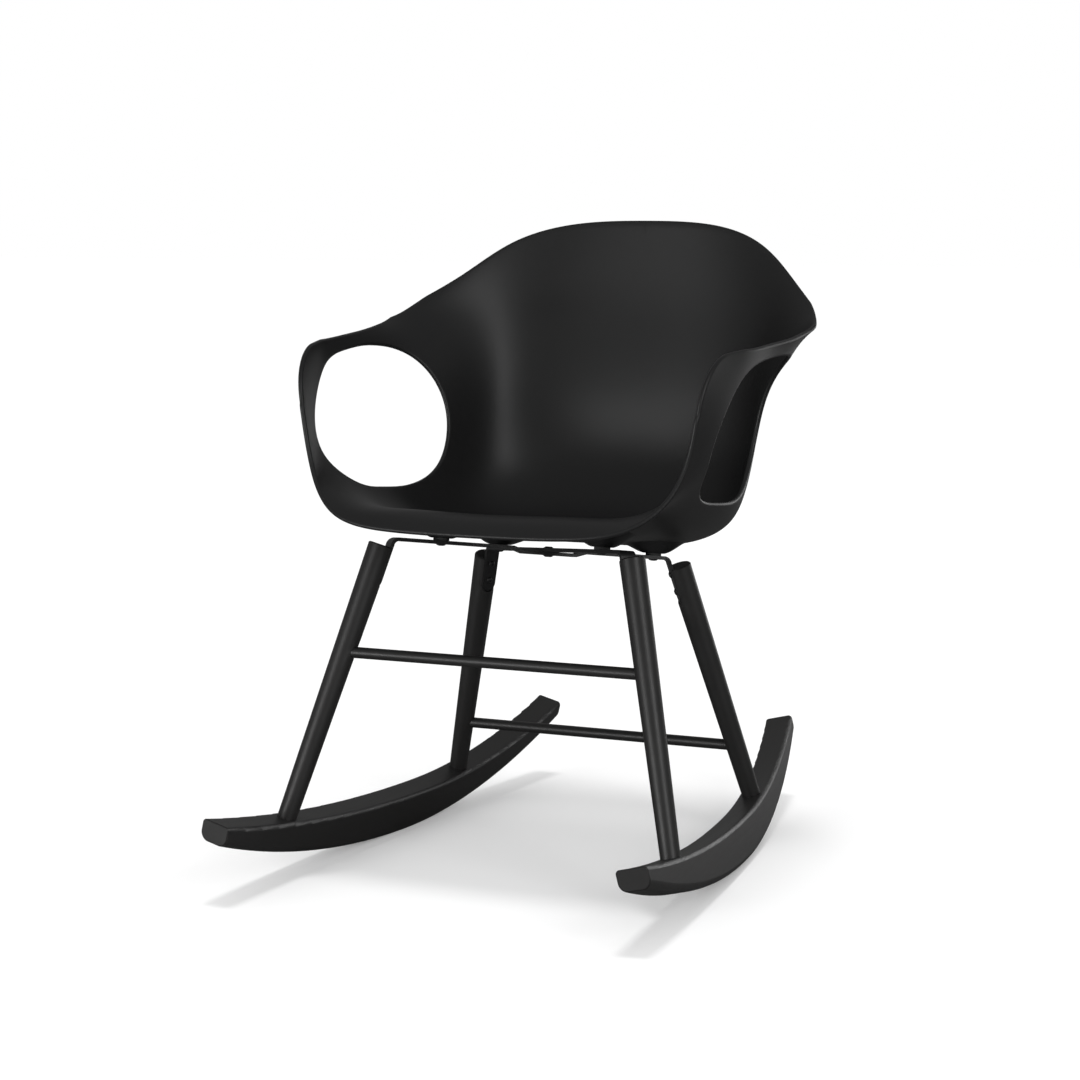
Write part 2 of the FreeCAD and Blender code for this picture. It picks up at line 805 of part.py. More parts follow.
def shell_rows():
    """The shell's rows of points in the seat frame, from the right arm to the left one."""
    rows = []
    for row_name in SHELL_ROWS:
        half = []
        for rail in RAILS:
            across = 0.0 if rail == "centre" else size(f"{row_name}_{rail}_across")
            half.append(Vector(across, size(f"{row_name}_{rail}_depth"), size(f"{row_name}_{rail}_height")))
        mirrored = [Vector(-point.x, point.y, point.z) for point in reversed(half[1:])]
        rows.append(mirrored + half)
    return rows


class ShellSurface:
    """The middle surface of the shell, smooth across and along."""

    def __init__(self):
        self.rows = shell_rows()
        columns = len(self.rows[0])
        self.across = [-1 + 2 * index / (columns - 1) for index in range(columns)]
        steps = []
        for lower, upper in zip(self.rows, self.rows[1:]):
            steps.append(sum((b - a).Length for a, b in zip(lower, upper)) / columns)
        total = sum(steps)
        self.along = [sum(steps[:index]) / total for index in range(len(self.rows))]
        self.row_curves = []
        for row in self.rows:
            self.row_curves.append([
                natural_spline(self.across, [point[axis] for point in row]) for axis in range(3)
            ])

    def column(self, u):
        """The curve along the shell at one place across it."""
        points = [[curve(u) for curve in curves] for curves in self.row_curves]
        return [natural_spline(self.along, [point[axis] for point in points]) for axis in range(3)]

    def offset_grids(self, half_thickness):
        """Points half a wall to the outside and to the inside of the middle surface."""
        step = 1e-4
        outer = []
        inner = []
        for i in range(GRID_ACROSS):
            u = -1 + 2 * i / (GRID_ACROSS - 1)
            curves = self.column(u)
            beside = self.column(u + step if u < 0 else u - step)
            sense = 1 if u < 0 else -1
            outer_line = []
            inner_line = []
            for j in range(GRID_ALONG):
                v = j / (GRID_ALONG - 1)
                near = v + step if v < 0.5 else v - step
                v_sense = 1 if v < 0.5 else -1
                point = Vector(*[curve(v) for curve in curves])
                along_u = (Vector(*[curve(v) for curve in beside]) - point) * sense
                along_v = (Vector(*[curve(near) for curve in curves]) - point) * v_sense
                normal = along_v.cross(along_u).normalize()
                outer_line.append(point + normal * half_thickness)
                inner_line.append(point - normal * half_thickness)
            outer.append(outer_line)
            inner.append(inner_line)
        return outer, inner


def face_through(grid):
    """A smooth face through a grid of points."""
    surface = Part.BSplineSurface()
    surface.interpolate(grid)
    return surface.toShape()


def closed_between(outer, inner):
    """A solid between two faces with matching edges."""
    faces = [outer, inner]
    for outer_edge, inner_edge in zip(outer.Edges, inner.Edges):
        faces.append(Part.makeRuledSurface(outer_edge, inner_edge))
    skin = Part.makeShell(faces)
    skin.sewShape()
    solid = Part.makeSolid(skin)
    if solid.Volume < 0:
        solid.reverse()
    return solid


def opening_cutter():
    """The arm opening's outline, run right across the chair."""
    points = [
        Vector(-CROSS_REACH, size(f"opening_{name}_depth"), size(f"opening_{name}_height"))
        for name in OPENING
    ]
    curve = Part.BSplineCurve()
    curve.interpolate(Points=points, PeriodicFlag=True)
    face = Part.Face(Part.Wire([curve.toShape()]))
    return face.extrude(Vector(2 * CROSS_REACH, 0, 0))


def arm_corner_cutter():
    """What is taken off the arms' front top corners to round them, run right across the chair.

    The corner is an arc between the upright front of the arm and its sloping top.
    """
    front = size("arm_corner_front")
    slope = math.radians(size("arm_top_slope_deg"))
    radius = size("arm_corner_radius")
    far = size("arm_opening_side_reach")
    centre_height = size("arm_corner_height") + radius * math.tan(slope) - radius / math.cos(slope)
    centre = Vector(-CROSS_REACH, front + radius, centre_height)
    low = centre + Vector(0, -radius, 0)
    high = centre + Vector(0, -math.sin(slope), math.cos(slope)) * radius
    half_way = (math.pi / 2 + slope) / 2
    middle = centre + Vector(0, -math.cos(half_way - slope), math.sin(half_way - slope)) * radius
    rear = high + Vector(0, math.cos(slope), math.sin(slope)) * far
    below = Vector(low.x, low.y, size("crest_wall_height"))
    path = [high, rear, rear + Vector(0, 0, far), Vector(low.x, front - far, rear.z + far)]
    path += [Vector(low.x, front - far, below.z), below, low]
    edges = [Part.Arc(low, middle, high).toShape()]
    edges += [Part.LineSegment(a, b).toShape() for a, b in zip(path, path[1:])]
    return Part.Face(Part.Wire(edges)).extrude(Vector(2 * CROSS_REACH, 0, 0))


def wing_cutters():
    """What is taken off the two tips where the arms meet the back, to round them in plan.

    The corner lies between the arm's side and the back's edge, which turns away from it.
    """
    turn = math.radians(size("wing_corner_turn_deg"))
    radius = size("wing_corner_radius")
    across = size("wing_corner_across") - radius
    depth = size("wing_corner_depth") - radius * math.tan(turn / 2)
    cutters = []
    for side in (1, -1):
        def place(angle, reach):
            return Vector(side * (across + reach * math.cos(angle)), depth + reach * math.sin(angle), 0)

        near, middle, far = (place(angle, radius) for angle in (0, turn / 2, turn))
        edges = [Part.Arc(near, middle, far).toShape()]
        path = [far, place(turn, CROSS_REACH), place(0, CROSS_REACH), near]
        edges += [Part.LineSegment(a, b).toShape() for a, b in zip(path, path[1:])]
        cutters.append(Part.Face(Part.Wire(edges)).extrude(Vector(0, 0, 2 * CROSS_REACH)))
    return cutters


def boss_solids(above):
    """The four cone-shaped bosses, cut off inside the wall by what lies above the middle surface."""
    tip = size("boss_tip_diameter") / 2
    root = size("boss_root_diameter") / 2
    start = size("spacer_thickness") + 2 * size("seat_gap")
    rise = size("boss_root_height") - start
    tall = 3 * size("boss_root_height")
    bosses = []
    for base in boss_points():
        foot = SEAT_FRAME.inverse().multVec(base)
        cone = Part.makeCone(tip, root, rise, foot + Vector(0, 0, start))
        stem = Part.makeCylinder(root, tall, foot + Vector(0, 0, start + rise))
        solid = cone.fuse(stem).cut(above)
        hole_depth = size("insert_length") + size("seat_gap")
        radius = size("insert_diameter") / 2 + size("seat_gap")
        hole = Part.makeCylinder(radius, hole_depth, foot + Vector(0, 0, start))
        bosses.append((solid, hole))
    return bosses


def make_shell():
    """The moulded seat shell: one wall with two arm openings and four bosses under it."""
    surface = ShellSurface()
    half = size("shell_thickness") / 2
    outer_grid, inner_grid = surface.offset_grids(half)
    middle_grid, _ = surface.offset_grids(0.0)
    shell = closed_between(face_through(outer_grid), face_through(inner_grid))
    shell = shell.cut(opening_cutter())
    shell = shell.cut(arm_corner_cutter())
    shell = shell.cut(wing_cutters())
    above = face_through(middle_grid).extrude(Vector(0, 0, 3 * CROSS_REACH))
    bosses = boss_solids(above)
    shell = shell.fuse([solid for solid, _ in bosses])
    shell = shell.cut([hole for _, hole in bosses])
    feature = add("Part::Feature", "seat_shell")
    feature.Shape = shell.Solids[0] if len(shell.Solids) == 1 else shell
    feature.Placement = SEAT_FRAME
    feature.Label = "seat_shell"
    return feature


# Hardware

def tube(name, position, direction, outer, bore, length):
    """A plain ring or sleeve along a direction."""
    body = rod(f"{name}_body", position, direction, outer, length)
    hole = rod(f"{name}_bore", position, direction, bore, length)
    return add("Part::Cut", name, Base=body, Tool=hole)


def make_inserts():
    """The brass inserts in the bosses."""
    members = []
    for index, base in enumerate(boss_points(), start=1):
        start = base + SEAT_UP * (size("spacer_thickness") + 2 * size("seat_gap"))
        members.append(tube(
            f"insert_{index}", start, SEAT_UP,
            "Sizes.insert_diameter / 2", "Sizes.shell_screw_diameter / 2 + Sizes.screw_clearance / 2",
            "Sizes.insert_length",
        ))
    return group("threaded_inserts", members)


def make_spacers():
    """The rubber discs between the bosses and the straps."""
    members = []
    for index, base in enumerate(boss_points(), start=1):
        members.append(tube(
            f"spacer_{index}", base + SEAT_UP * size("seat_gap"), SEAT_UP,
            "Sizes.spacer_diameter / 2", "Sizes.shell_screw_diameter / 2 + Sizes.screw_clearance",
            "Sizes.spacer_thickness",
        ))
    return group("seat_spacers", members)


def headed_screw(name, seat, direction, screw, length):
    """A round-headed screw: its head sits at a point and its shank runs along a direction."""
    shank = rod(f"{name}_shank", seat, direction, f"Sizes.{screw}_diameter / 2", length)
    head = add("Part::Cone", f"{name}_head")
    bind(head, Radius1=f"Sizes.{screw}_head_diameter / 2", Radius2=f"Sizes.{screw}_head_diameter * 0.32",
         Height=f"Sizes.{screw}_head_height")
    head.Placement = along(seat, direction * -1)
    return add("Part::MultiFuse", name, Shapes=[shank, head])


def make_shell_screws():
    """The machine screws that hold the shell, driven up through the straps."""
    members = []
    drop = size("strap_thickness") + size("seat_gap")
    length = "Sizes.strap_thickness + Sizes.spacer_thickness + Sizes.insert_length"
    for index, base in enumerate(boss_points(), start=1):
        seat = base - SEAT_UP * drop
        members.append(headed_screw(f"shell_screw_{index}", seat, SEAT_UP, "shell_screw", length))
    return group("shell_screws", members)


def make_leg_screws():
    """The wood screws that hold the tabs in the legs, two to a leg."""
    members = []
    for end, fold in FOLDS.items():
        for index, face in enumerate(screw_faces(fold), start=1):
            name = f"leg_screw_{end}_{index}"
            seat = face + fold.inward * size("seat_gap")
            screw = headed_screw(name, seat, fold.out_normal, "leg_screw", "Sizes.leg_screw_length")
            members += [screw, mirrored(screw, f"{name}_opposite")]
    return group("leg_screws", members)


# The whole chair

def build_chair():
    """Every sub-part of the chair, as document objects whose labels name their files."""
    parts = [make_shell()]
    parts.append(make_inserts())
    parts.append(make_spacers())
    parts.append(make_shell_screws())
    parts += make_straps()
    parts.append(make_rivet())
    for end in LEGS:
        parts += make_leg(end)
        parts.append(make_stretcher(end))
    parts.append(make_leg_screws())
    parts += make_rockers()
    doc.recompute()
    return parts


def check_and_export(parts):
    """Stop at any failed object or bad shape, and otherwise write one file to a sub-part."""
    for obj in doc.Objects:
        bad = [state for state in obj.State if state in ("Invalid", "Error")]
        if bad:
            raise RuntimeError(f"{obj.Name} is {bad}")
    for obj in parts:
        if obj.Shape.isNull() or not obj.Shape.isValid() or obj.Shape.Volume <= 0:
            raise RuntimeError(f"{obj.Label} has no sound shape")
    os.makedirs("parts", exist_ok=True)
    for obj in parts:
        obj.Shape.exportStep(f"parts/{obj.Label}.step")
        box = obj.Shape.BoundBox
        print(f"{obj.Label}: {len(obj.Shape.Solids)} solid(s), {obj.Shape.Volume / 1000:.1f} cm3,"
              f" x {box.XMin:.0f}..{box.XMax:.0f} y {box.YMin:.0f}..{box.YMax:.0f}"
              f" z {box.ZMin:.1f}..{box.ZMax:.1f}")


check_and_export(build_chair())
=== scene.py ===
# %% [markdown]
# # A moulded plastic rocking chair
# The chair is a one-piece plastic armchair shell on two crossed steel straps, four splayed round
# legs, two stretchers and two curved rockers. The measured solids are already there as the frame.
# This lesson gives the shell a clean skin, puts real heads on the screws, and finishes every piece
# with a material that is worked out from its own place on the chair.

# %% Load the measured frame
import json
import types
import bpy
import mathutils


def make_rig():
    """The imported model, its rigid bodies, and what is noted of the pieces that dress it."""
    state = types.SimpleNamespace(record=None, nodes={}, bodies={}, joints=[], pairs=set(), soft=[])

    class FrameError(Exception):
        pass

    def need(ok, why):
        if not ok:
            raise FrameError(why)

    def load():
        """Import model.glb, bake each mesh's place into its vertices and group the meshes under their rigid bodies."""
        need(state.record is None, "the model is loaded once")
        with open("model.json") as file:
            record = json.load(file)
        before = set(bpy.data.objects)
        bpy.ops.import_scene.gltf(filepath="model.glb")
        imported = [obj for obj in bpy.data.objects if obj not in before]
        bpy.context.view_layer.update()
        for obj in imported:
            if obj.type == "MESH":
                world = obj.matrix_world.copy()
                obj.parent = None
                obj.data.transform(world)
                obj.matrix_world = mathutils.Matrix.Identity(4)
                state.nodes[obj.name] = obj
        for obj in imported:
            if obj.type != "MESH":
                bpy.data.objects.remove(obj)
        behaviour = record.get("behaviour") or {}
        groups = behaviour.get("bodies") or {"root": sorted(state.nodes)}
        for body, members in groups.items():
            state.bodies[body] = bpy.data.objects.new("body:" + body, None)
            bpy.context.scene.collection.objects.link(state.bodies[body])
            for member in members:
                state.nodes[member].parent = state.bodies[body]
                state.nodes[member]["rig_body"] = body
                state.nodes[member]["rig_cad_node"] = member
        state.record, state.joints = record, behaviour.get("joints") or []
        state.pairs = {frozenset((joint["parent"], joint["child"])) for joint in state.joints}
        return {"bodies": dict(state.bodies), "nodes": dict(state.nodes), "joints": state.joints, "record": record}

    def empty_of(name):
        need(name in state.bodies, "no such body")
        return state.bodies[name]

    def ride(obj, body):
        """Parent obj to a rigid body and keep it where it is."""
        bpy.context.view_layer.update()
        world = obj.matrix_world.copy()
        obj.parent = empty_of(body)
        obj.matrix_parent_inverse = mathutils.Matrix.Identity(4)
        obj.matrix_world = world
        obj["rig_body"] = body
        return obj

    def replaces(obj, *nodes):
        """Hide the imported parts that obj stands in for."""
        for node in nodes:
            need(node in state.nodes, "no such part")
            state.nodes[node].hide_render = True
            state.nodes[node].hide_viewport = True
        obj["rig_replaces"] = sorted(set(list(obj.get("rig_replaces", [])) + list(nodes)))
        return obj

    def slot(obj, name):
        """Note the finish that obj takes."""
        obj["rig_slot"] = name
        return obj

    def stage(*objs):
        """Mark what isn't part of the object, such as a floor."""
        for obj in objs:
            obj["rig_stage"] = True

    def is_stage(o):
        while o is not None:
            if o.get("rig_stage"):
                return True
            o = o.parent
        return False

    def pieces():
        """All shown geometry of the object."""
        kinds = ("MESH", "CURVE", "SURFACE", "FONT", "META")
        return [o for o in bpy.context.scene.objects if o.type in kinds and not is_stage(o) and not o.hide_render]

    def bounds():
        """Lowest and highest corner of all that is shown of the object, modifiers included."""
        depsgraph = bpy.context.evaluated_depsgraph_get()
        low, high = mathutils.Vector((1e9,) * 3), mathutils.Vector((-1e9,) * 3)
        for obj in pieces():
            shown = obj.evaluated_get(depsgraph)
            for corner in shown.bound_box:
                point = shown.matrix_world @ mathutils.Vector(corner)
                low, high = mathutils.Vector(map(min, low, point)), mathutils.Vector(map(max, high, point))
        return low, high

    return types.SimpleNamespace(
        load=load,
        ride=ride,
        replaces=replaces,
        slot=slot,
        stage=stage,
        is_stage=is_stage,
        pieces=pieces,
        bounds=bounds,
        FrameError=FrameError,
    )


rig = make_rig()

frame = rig.load()

import json
import math

import bmesh
import bpy
import numpy as np
from mathutils import Vector

CAD_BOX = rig.bounds()
BODY = "root"
print("frame nodes:", len(frame["nodes"]), "box:", [[round(c, 4) for c in p] for p in CAD_BOX])

# %% [markdown]
# ## The seat's own frame
# The seat is tipped back, so its shape is easier to write level and then tip. Every point of the
# shell is given by its distance from the middle, its depth (rearwards) and its height above the
# straps, in millimetres, and one function turns them into metres on the chair.

# %% Seat frame
MM = 0.001
SEAT_TILT = math.radians(9.6)
SEAT_ORIGIN = np.array([0.0, -32.5, 394.0])
COS_T, SIN_T = math.cos(SEAT_TILT), math.sin(SEAT_TILT)


def on_chair(points):
    """Seat-frame points in millimetres, as points of the chair in metres."""
    p = np.asarray(points, dtype=float)
    across, depth, height = p[..., 0], p[..., 1], p[..., 2]
    turned = np.stack([across, depth * COS_T + height * SIN_T, height * COS_T - depth * SIN_T],
                      axis=-1)
    return (turned + SEAT_ORIGIN) * MM


print("strap crossing plane at", on_chair([0, 0, 0]).round(4))

# %% [markdown]
# ## The shell as one smooth surface
# A moulded shell is drawn by its section lines. Nine rows run across it, from the rolled front lip
# over the pan and up the back, and each has five points from the middle to the arm's edge. A
# natural cubic spline through the points of a row, and another along the rows, gives one surface
# without a crease. Subdivision surfaces could do this too, but they pull away from their points.

# %% Section rows of the shell
SHELL_ROWS = [
    [(0, -217, 2), (110, -215, 4), (192, -203, 22), (242, -180, 92), (263, -200, 224)],
    [(0, -198, 21), (108, -196, 23), (190, -183, 34), (250, -156, 101), (267, -168, 232)],
    [(0, -74, 18), (104, -74, 20), (194, -74, 39), (256, -80, 112), (281, -97, 244)],
    [(0, 68, 17), (106, 68, 18), (199, 62, 41), (243, 41, 119), (287, -23, 259)],
    [(0, 188, 26), (112, 188, 29), (190, 168, 61), (226, 119, 141), (292, 40, 273)],
    [(0, 270, 102), (103, 262, 104), (184, 222, 127), (224, 152, 194), (294, 84, 285)],
    [(0, 278, 215), (100, 270, 217), (180, 236, 229), (228, 174, 257), (296, 113, 294)],
    [(0, 284, 336), (98, 276, 335), (181, 246, 330), (241, 194, 319), (296, 137, 304)],
    [(0, 285, 457), (95, 276, 451), (175, 249, 422), (235, 214, 369), (293, 156, 313)],
]
rows = np.array(SHELL_ROWS, dtype=float)
mirrored_rows = rows[:, :0:-1, :] * np.array([-1.0, 1.0, 1.0])
rows = np.concatenate([mirrored_rows, rows], axis=1)
stations_across = np.linspace(-1, 1, rows.shape[1])
row_steps = np.linalg.norm(np.diff(rows, axis=0), axis=2).mean(axis=1)
stations_along = np.concatenate([[0], np.cumsum(row_steps)]) / row_steps.sum()
print("rows x columns:", rows.shape[:2], "row stations:", stations_along.round(3))


# %% A natural cubic spline
def bend_matrix(stations):
    """Turns the values at the stations into the second derivatives of their natural spline."""
    gaps = np.diff(stations)
    count = len(stations)
    left = np.eye(count)
    right = np.zeros((count, count))
    for i in range(1, count - 1):
        left[i, i - 1:i + 2] = gaps[i - 1], 2 * (gaps[i - 1] + gaps[i]), gaps[i]
        right[i, i - 1:i + 2] = 6 / gaps[i - 1], -6 / gaps[i - 1] - 6 / gaps[i], 6 / gaps[i]
    return np.linalg.solve(left, right)


def spline_weights(stations, at):
    """One row of weights per place, so that weights @ values is the spline there."""
    at = np.asarray(at, dtype=float)
    cell = np.clip(np.searchsorted(stations, at) - 1, 0, len(stations) - 2)
    low, high = stations[cell], stations[cell + 1]
    gap = high - low
    a, b = (high - at) / gap, (at - low) / gap
    eye = np.eye(len(stations))
    bends = bend_matrix(stations)
    straight = a[:, None] * eye[cell] + b[:, None] * eye[cell + 1]
    curved = (a ** 3 - a)[:, None] * bends[cell] + (b ** 3 - b)[:, None] * bends[cell + 1]
    return straight + curved * (gap ** 2 / 6)[:, None]


def shell_point(u, v):
    """Points of the shell's middle surface; u runs across from arm to arm, v from lip to top."""
    u, v = np.broadcast_arrays(np.asarray(u, float), np.asarray(v, float))
    across = spline_weights(stations_across, u.ravel())
    along = spline_weights(stations_along, v.ravel())
    return np.einsum("nr,nc,rcd->nd", along, across, rows).reshape(u.shape + (3,))


SLOPE_STEP = 1e-4


def shell_normal(u, v):
    """Unit normals towards the back and underside of the shell."""
    du = shell_point(u + SLOPE_STEP, v) - shell_point(u - SLOPE_STEP, v)
    dv = shell_point(u, v + SLOPE_STEP) - shell_point(u, v - SLOPE_STEP)
    n = np.cross(dv, du)
    return n / np.linalg.norm(n, axis=-1, keepdims=True)


print("pan centre:", shell_point(0.0, 0.25).round(1), "top centre:", shell_point(0.0, 1.0).round(1))

# %% [markdown]
# ## The arm opening
# Each arm has a large opening, cut straight through from the side. Its outline is a closed curve
# in the side view. To mesh round it without a boolean, the outline is carried onto the surface:
# for each point, a few Newton steps find the place on the shell that shows there from the side.

# %% Outline of the arm opening on the surface
OPENING = [(-136, 122), (-125, 92), (-92, 71), (-4, 66), (75, 76), (133, 106), (157, 160),
           (149, 208), (118, 248), (66, 255), (-25, 239), (-90, 212), (-124, 168)]
OPENING_POINTS, CURVE_STEPS = 720, 4001
LAP = 4  # points repeated past each end, so that the closed spline has no kink
OPENING_TURNS, LONGEST_MOVE = 30, 0.05


def run_along(points):
    """Distance travelled along a line of points."""
    return np.concatenate([[0], np.cumsum(np.linalg.norm(np.diff(points, axis=0), axis=1))])


def closed_curve(points, count):
    """Evenly spaced points on a smooth closed curve through the given ones."""
    ring = np.array(points, dtype=float)
    wrapped = np.concatenate([ring[-LAP:], ring, ring[:LAP + 1]])
    chords = run_along(wrapped)
    fine = np.linspace(chords[LAP], chords[LAP + len(ring)], CURVE_STEPS)
    curve = spline_weights(chords, fine) @ wrapped
    travelled = run_along(curve)
    even = np.linspace(0, travelled[-1], count + 1)[:-1]
    return np.stack([np.interp(even, travelled, column) for column in curve.T], axis=1)


def newton(surface, targets, u, v, turns, longest=np.inf):
    """Moves surface places until a two-column function of them meets its targets."""
    for _ in range(turns):
        here = surface(u, v)
        du = (surface(u + SLOPE_STEP, v) - here) / SLOPE_STEP
        dv = (surface(u, v + SLOPE_STEP) - here) / SLOPE_STEP
        miss = targets - here
        det = du[:, 0] * dv[:, 1] - du[:, 1] * dv[:, 0]
        move_u = (miss[:, 0] * dv[:, 1] - miss[:, 1] * dv[:, 0]) / det
        move_v = (du[:, 0] * miss[:, 1] - du[:, 1] * miss[:, 0]) / det
        u = u + np.clip(move_u, -longest, longest)
        v = v + np.clip(move_v, -longest, longest)
    return u, v


def nearest_places(columns, targets, grid_u, grid_v):
    """The places of a coarse grid whose two columns come nearest to each target."""
    flat = columns.reshape(-1, 2)
    pick = np.array([np.argmin(((flat - target) ** 2).sum(axis=1)) for target in targets])
    return grid_u.ravel()[pick], grid_v.ravel()[pick]


def side_view(u, v):
    """Depth and height of surface places."""
    return shell_point(u, v)[..., 1:]


coarse_u, coarse_v = np.meshgrid(np.linspace(0.5, 1, 51), np.linspace(0, 0.8, 81), indexing="ij")
outline = closed_curve(OPENING, OPENING_POINTS)
start_u, start_v = nearest_places(side_view(coarse_u, coarse_v), outline, coarse_u, coarse_v)
hole_u, hole_v = newton(side_view, outline, start_u, start_v, OPENING_TURNS, LONGEST_MOVE)
error = np.abs(shell_point(hole_u, hole_v)[:, 1:] - outline).max()
print("opening spans u", hole_u.min().round(3), hole_u.max().round(3), "v", hole_v.min().round(3),
      hole_v.max().round(3), "worst miss mm", error.round(4))

# %% [markdown]
# ## The rim of the shell
# Half the shell is a sheet with one hole, bounded by the front lip, the arm's edge, the top edge
# and the middle line. From the opening's centre, rays run out to that boundary. A ray stops where
# a short list of limits is first met: each edge less half the wall, the rounded front corner of
# the arm, and the rounded wing where the arm meets the back. The half wall is left for the round
# edge that is added later.

# %% Rays from the opening to the rim
WALL = 6.0
HALF = WALL / 2
CORNER_FRONT, CORNER_HEIGHT, CORNER_RADIUS = -185.0, 222.5, 66.0
TOP_SLOPE = math.radians(13.8)
COS_SLOPE, SIN_SLOPE = math.cos(TOP_SLOPE), math.sin(TOP_SLOPE)
CORNER_ABOVE, CORNER_BEFORE = 101.0, -60.0  # the corner's limit holds above and in front of these
WING_ACROSS, WING_DEPTH, WING_RADIUS = 299.4, 155.9, 130.0
WING_TURN = math.radians(45)  # how far the wing's rounding turns; its arc starts at the side
NO_LIMIT = 1e3
HALF_WIDTH = 300.0  # turns u into a distance from the middle line


def corner_room(points):
    """Distance left inside the rounded front top corner of the arm, in the side view."""
    depth, height = points[..., 1], points[..., 2]
    from_front = depth - CORNER_FRONT
    from_top = from_front * SIN_SLOPE - (height - CORNER_HEIGHT) * COS_SLOPE
    centre_d = CORNER_FRONT + CORNER_RADIUS
    centre_h = CORNER_HEIGHT + CORNER_RADIUS * (SIN_SLOPE - 1) / COS_SLOPE
    off_d, off_h = depth - centre_d, height - centre_h
    in_cone = (off_d < 0) & (off_h * COS_SLOPE - off_d * SIN_SLOPE > 0)
    in_cone &= off_d * COS_SLOPE + off_h * SIN_SLOPE < 0
    flat = np.minimum(from_front, from_top)
    room = np.where(in_cone, CORNER_RADIUS - np.hypot(off_d, off_h), flat)
    applies = (height > CORNER_ABOVE) & (depth < CORNER_BEFORE)
    return np.where(applies, room, NO_LIMIT)


def wing_room(points):
    """Distance left inside the rounded corner where the arm meets the back, seen from above."""
    across, depth = points[..., 0], points[..., 1]
    tangent = WING_RADIUS * math.tan(WING_TURN / 2)
    centre_x = WING_ACROSS - WING_RADIUS
    centre_d = WING_DEPTH - tangent
    off_x, off_d = across - centre_x, depth - centre_d
    in_cone = (off_d > 0) & (off_x > off_d / math.tan(WING_TURN))
    return np.where(in_cone, WING_RADIUS - np.hypot(off_x, off_d), NO_LIMIT)


def room_inside(u, v):
    """Room left before the nearest limit of the half sheet; negative outside it."""
    here = shell_point(u, v)

    def to_edge(edge_u, edge_v, side):
        return np.linalg.norm(shell_point(edge_u, edge_v) - here, axis=-1) * np.sign(side) - HALF

    return np.min([to_edge(1.0, v, 1 - u), to_edge(u, 0.0, v), to_edge(u, 1.0, 1 - v),
                   u * HALF_WIDTH, corner_room(here) - HALF, wing_room(here) - HALF], axis=0)


centre_u = 0.5 * (hole_u.min() + hole_u.max())
centre_v = 0.5 * (hole_v.min() + hole_v.max())
SCALE_U, SCALE_V = 480.0, 900.0  # millimetres that one unit of u and of v is taken for
LONGEST_RAY, HALVINGS = 1400.0, 42


def rim_at(angles):
    """Where rays from the opening's centre leave the half sheet."""
    way_u, way_v = np.cos(angles) / SCALE_U, np.sin(angles) / SCALE_V
    low, high = np.zeros_like(angles), np.full_like(angles, LONGEST_RAY)
    for _ in range(HALVINGS):
        middle = (low + high) / 2
        inside = room_inside(centre_u + way_u * middle, centre_v + way_v * middle) > 0
        low, high = np.where(inside, middle, low), np.where(inside, high, middle)
    return centre_u + way_u * low, centre_v + way_v * low


def opening_at(angles):
    """Where the same rays leave the opening."""
    found = np.unwrap(np.arctan2((hole_v - centre_v) * SCALE_V, (hole_u - centre_u) * SCALE_U))
    order = -1 if found[-1] < found[0] else 1
    found, at_u, at_v = found[::order], hole_u[::order], hole_v[::order]
    turn = 2 * math.pi
    three_turns = np.concatenate([found - turn, found, found + turn])
    wanted = (angles - found[0]) % turn + found[0]
    return tuple(np.interp(wanted, three_turns, np.tile(places, 3)) for places in (at_u, at_v))


# %% Even out the rays
# Rays are spread so that their ends are near evenly spaced on both edges, the rim counting more.
ROUND = 384
RIM_SHARE = 0.62
even_angles = np.linspace(0, 2 * math.pi, 4097)
rim_run = run_along(shell_point(*rim_at(even_angles)))
opening_run = run_along(shell_point(*opening_at(even_angles)))
blended = RIM_SHARE * rim_run / rim_run[-1] + (1 - RIM_SHARE) * opening_run / opening_run[-1]
# Two rays must end exactly where the edges, less half the wall, meet the middle line.
corner_angles = []
for end_v, inwards in ((0.0, 1.0), (1.0, -1.0)):
    tries = end_v + inwards * np.linspace(0, 0.03, 3001)
    reach = np.linalg.norm(shell_point(0.0, tries) - shell_point(0.0, end_v), axis=-1)
    corner_v = np.interp(HALF, reach, tries)
    corner_angle = math.atan2((corner_v - centre_v) * SCALE_V, -centre_u * SCALE_U)
    corner_angles.append(corner_angle % (2 * math.pi))
ray_angles = np.interp(np.linspace(0, blended[-1], ROUND + 1)[:-1], blended, even_angles)
for angle in corner_angles:
    ray_angles[np.argmin(np.abs(ray_angles - angle))] = angle
rim_u, rim_v = rim_at(ray_angles)
open_u, open_v = opening_at(ray_angles)
print("rim length mm", rim_run[-1].round(0), "opening length mm", opening_run[-1].round(0))


# %% [markdown]
# ## The wall
# The sheet between opening and rim is filled with rings. Each ring is offset half the wall to both
# sides along the surface normal, and a half circle of points joins the two sides along the opening
# and along the rim, which gives the full round edge that a mould leaves. The half is mirrored and
# welded on the middle line.

# %% Push the opening's edge back by half the wall
INWARDS = 0.02


def pushed_off(u, v, inner_u, inner_v, distance):
    """Moves a closed line of places on the surface towards the sheet by a distance."""
    p = shell_point(u, v)
    su = (shell_point(u + SLOPE_STEP, v) - p) / SLOPE_STEP
    sv = (shell_point(u, v + SLOPE_STEP) - p) / SLOPE_STEP
    tangent = np.roll(p, -1, axis=0) - np.roll(p, 1, axis=0)
    tangent /= np.linalg.norm(tangent, axis=1, keepdims=True)
    normal = shell_normal(u, v)
    side = np.cross(tangent, normal)
    towards = shell_point(u + INWARDS * (inner_u - u), v + INWARDS * (inner_v - v)) - p
    side *= np.sign((side * towards).sum(axis=1, keepdims=True)) * distance
    a, b, c = (su * su).sum(1), (su * sv).sum(1), (sv * sv).sum(1)
    r, s = (su * side).sum(1), (sv * side).sum(1)
    det = a * c - b * b
    return u + (r * c - s * b) / det, v + (s * a - r * b) / det


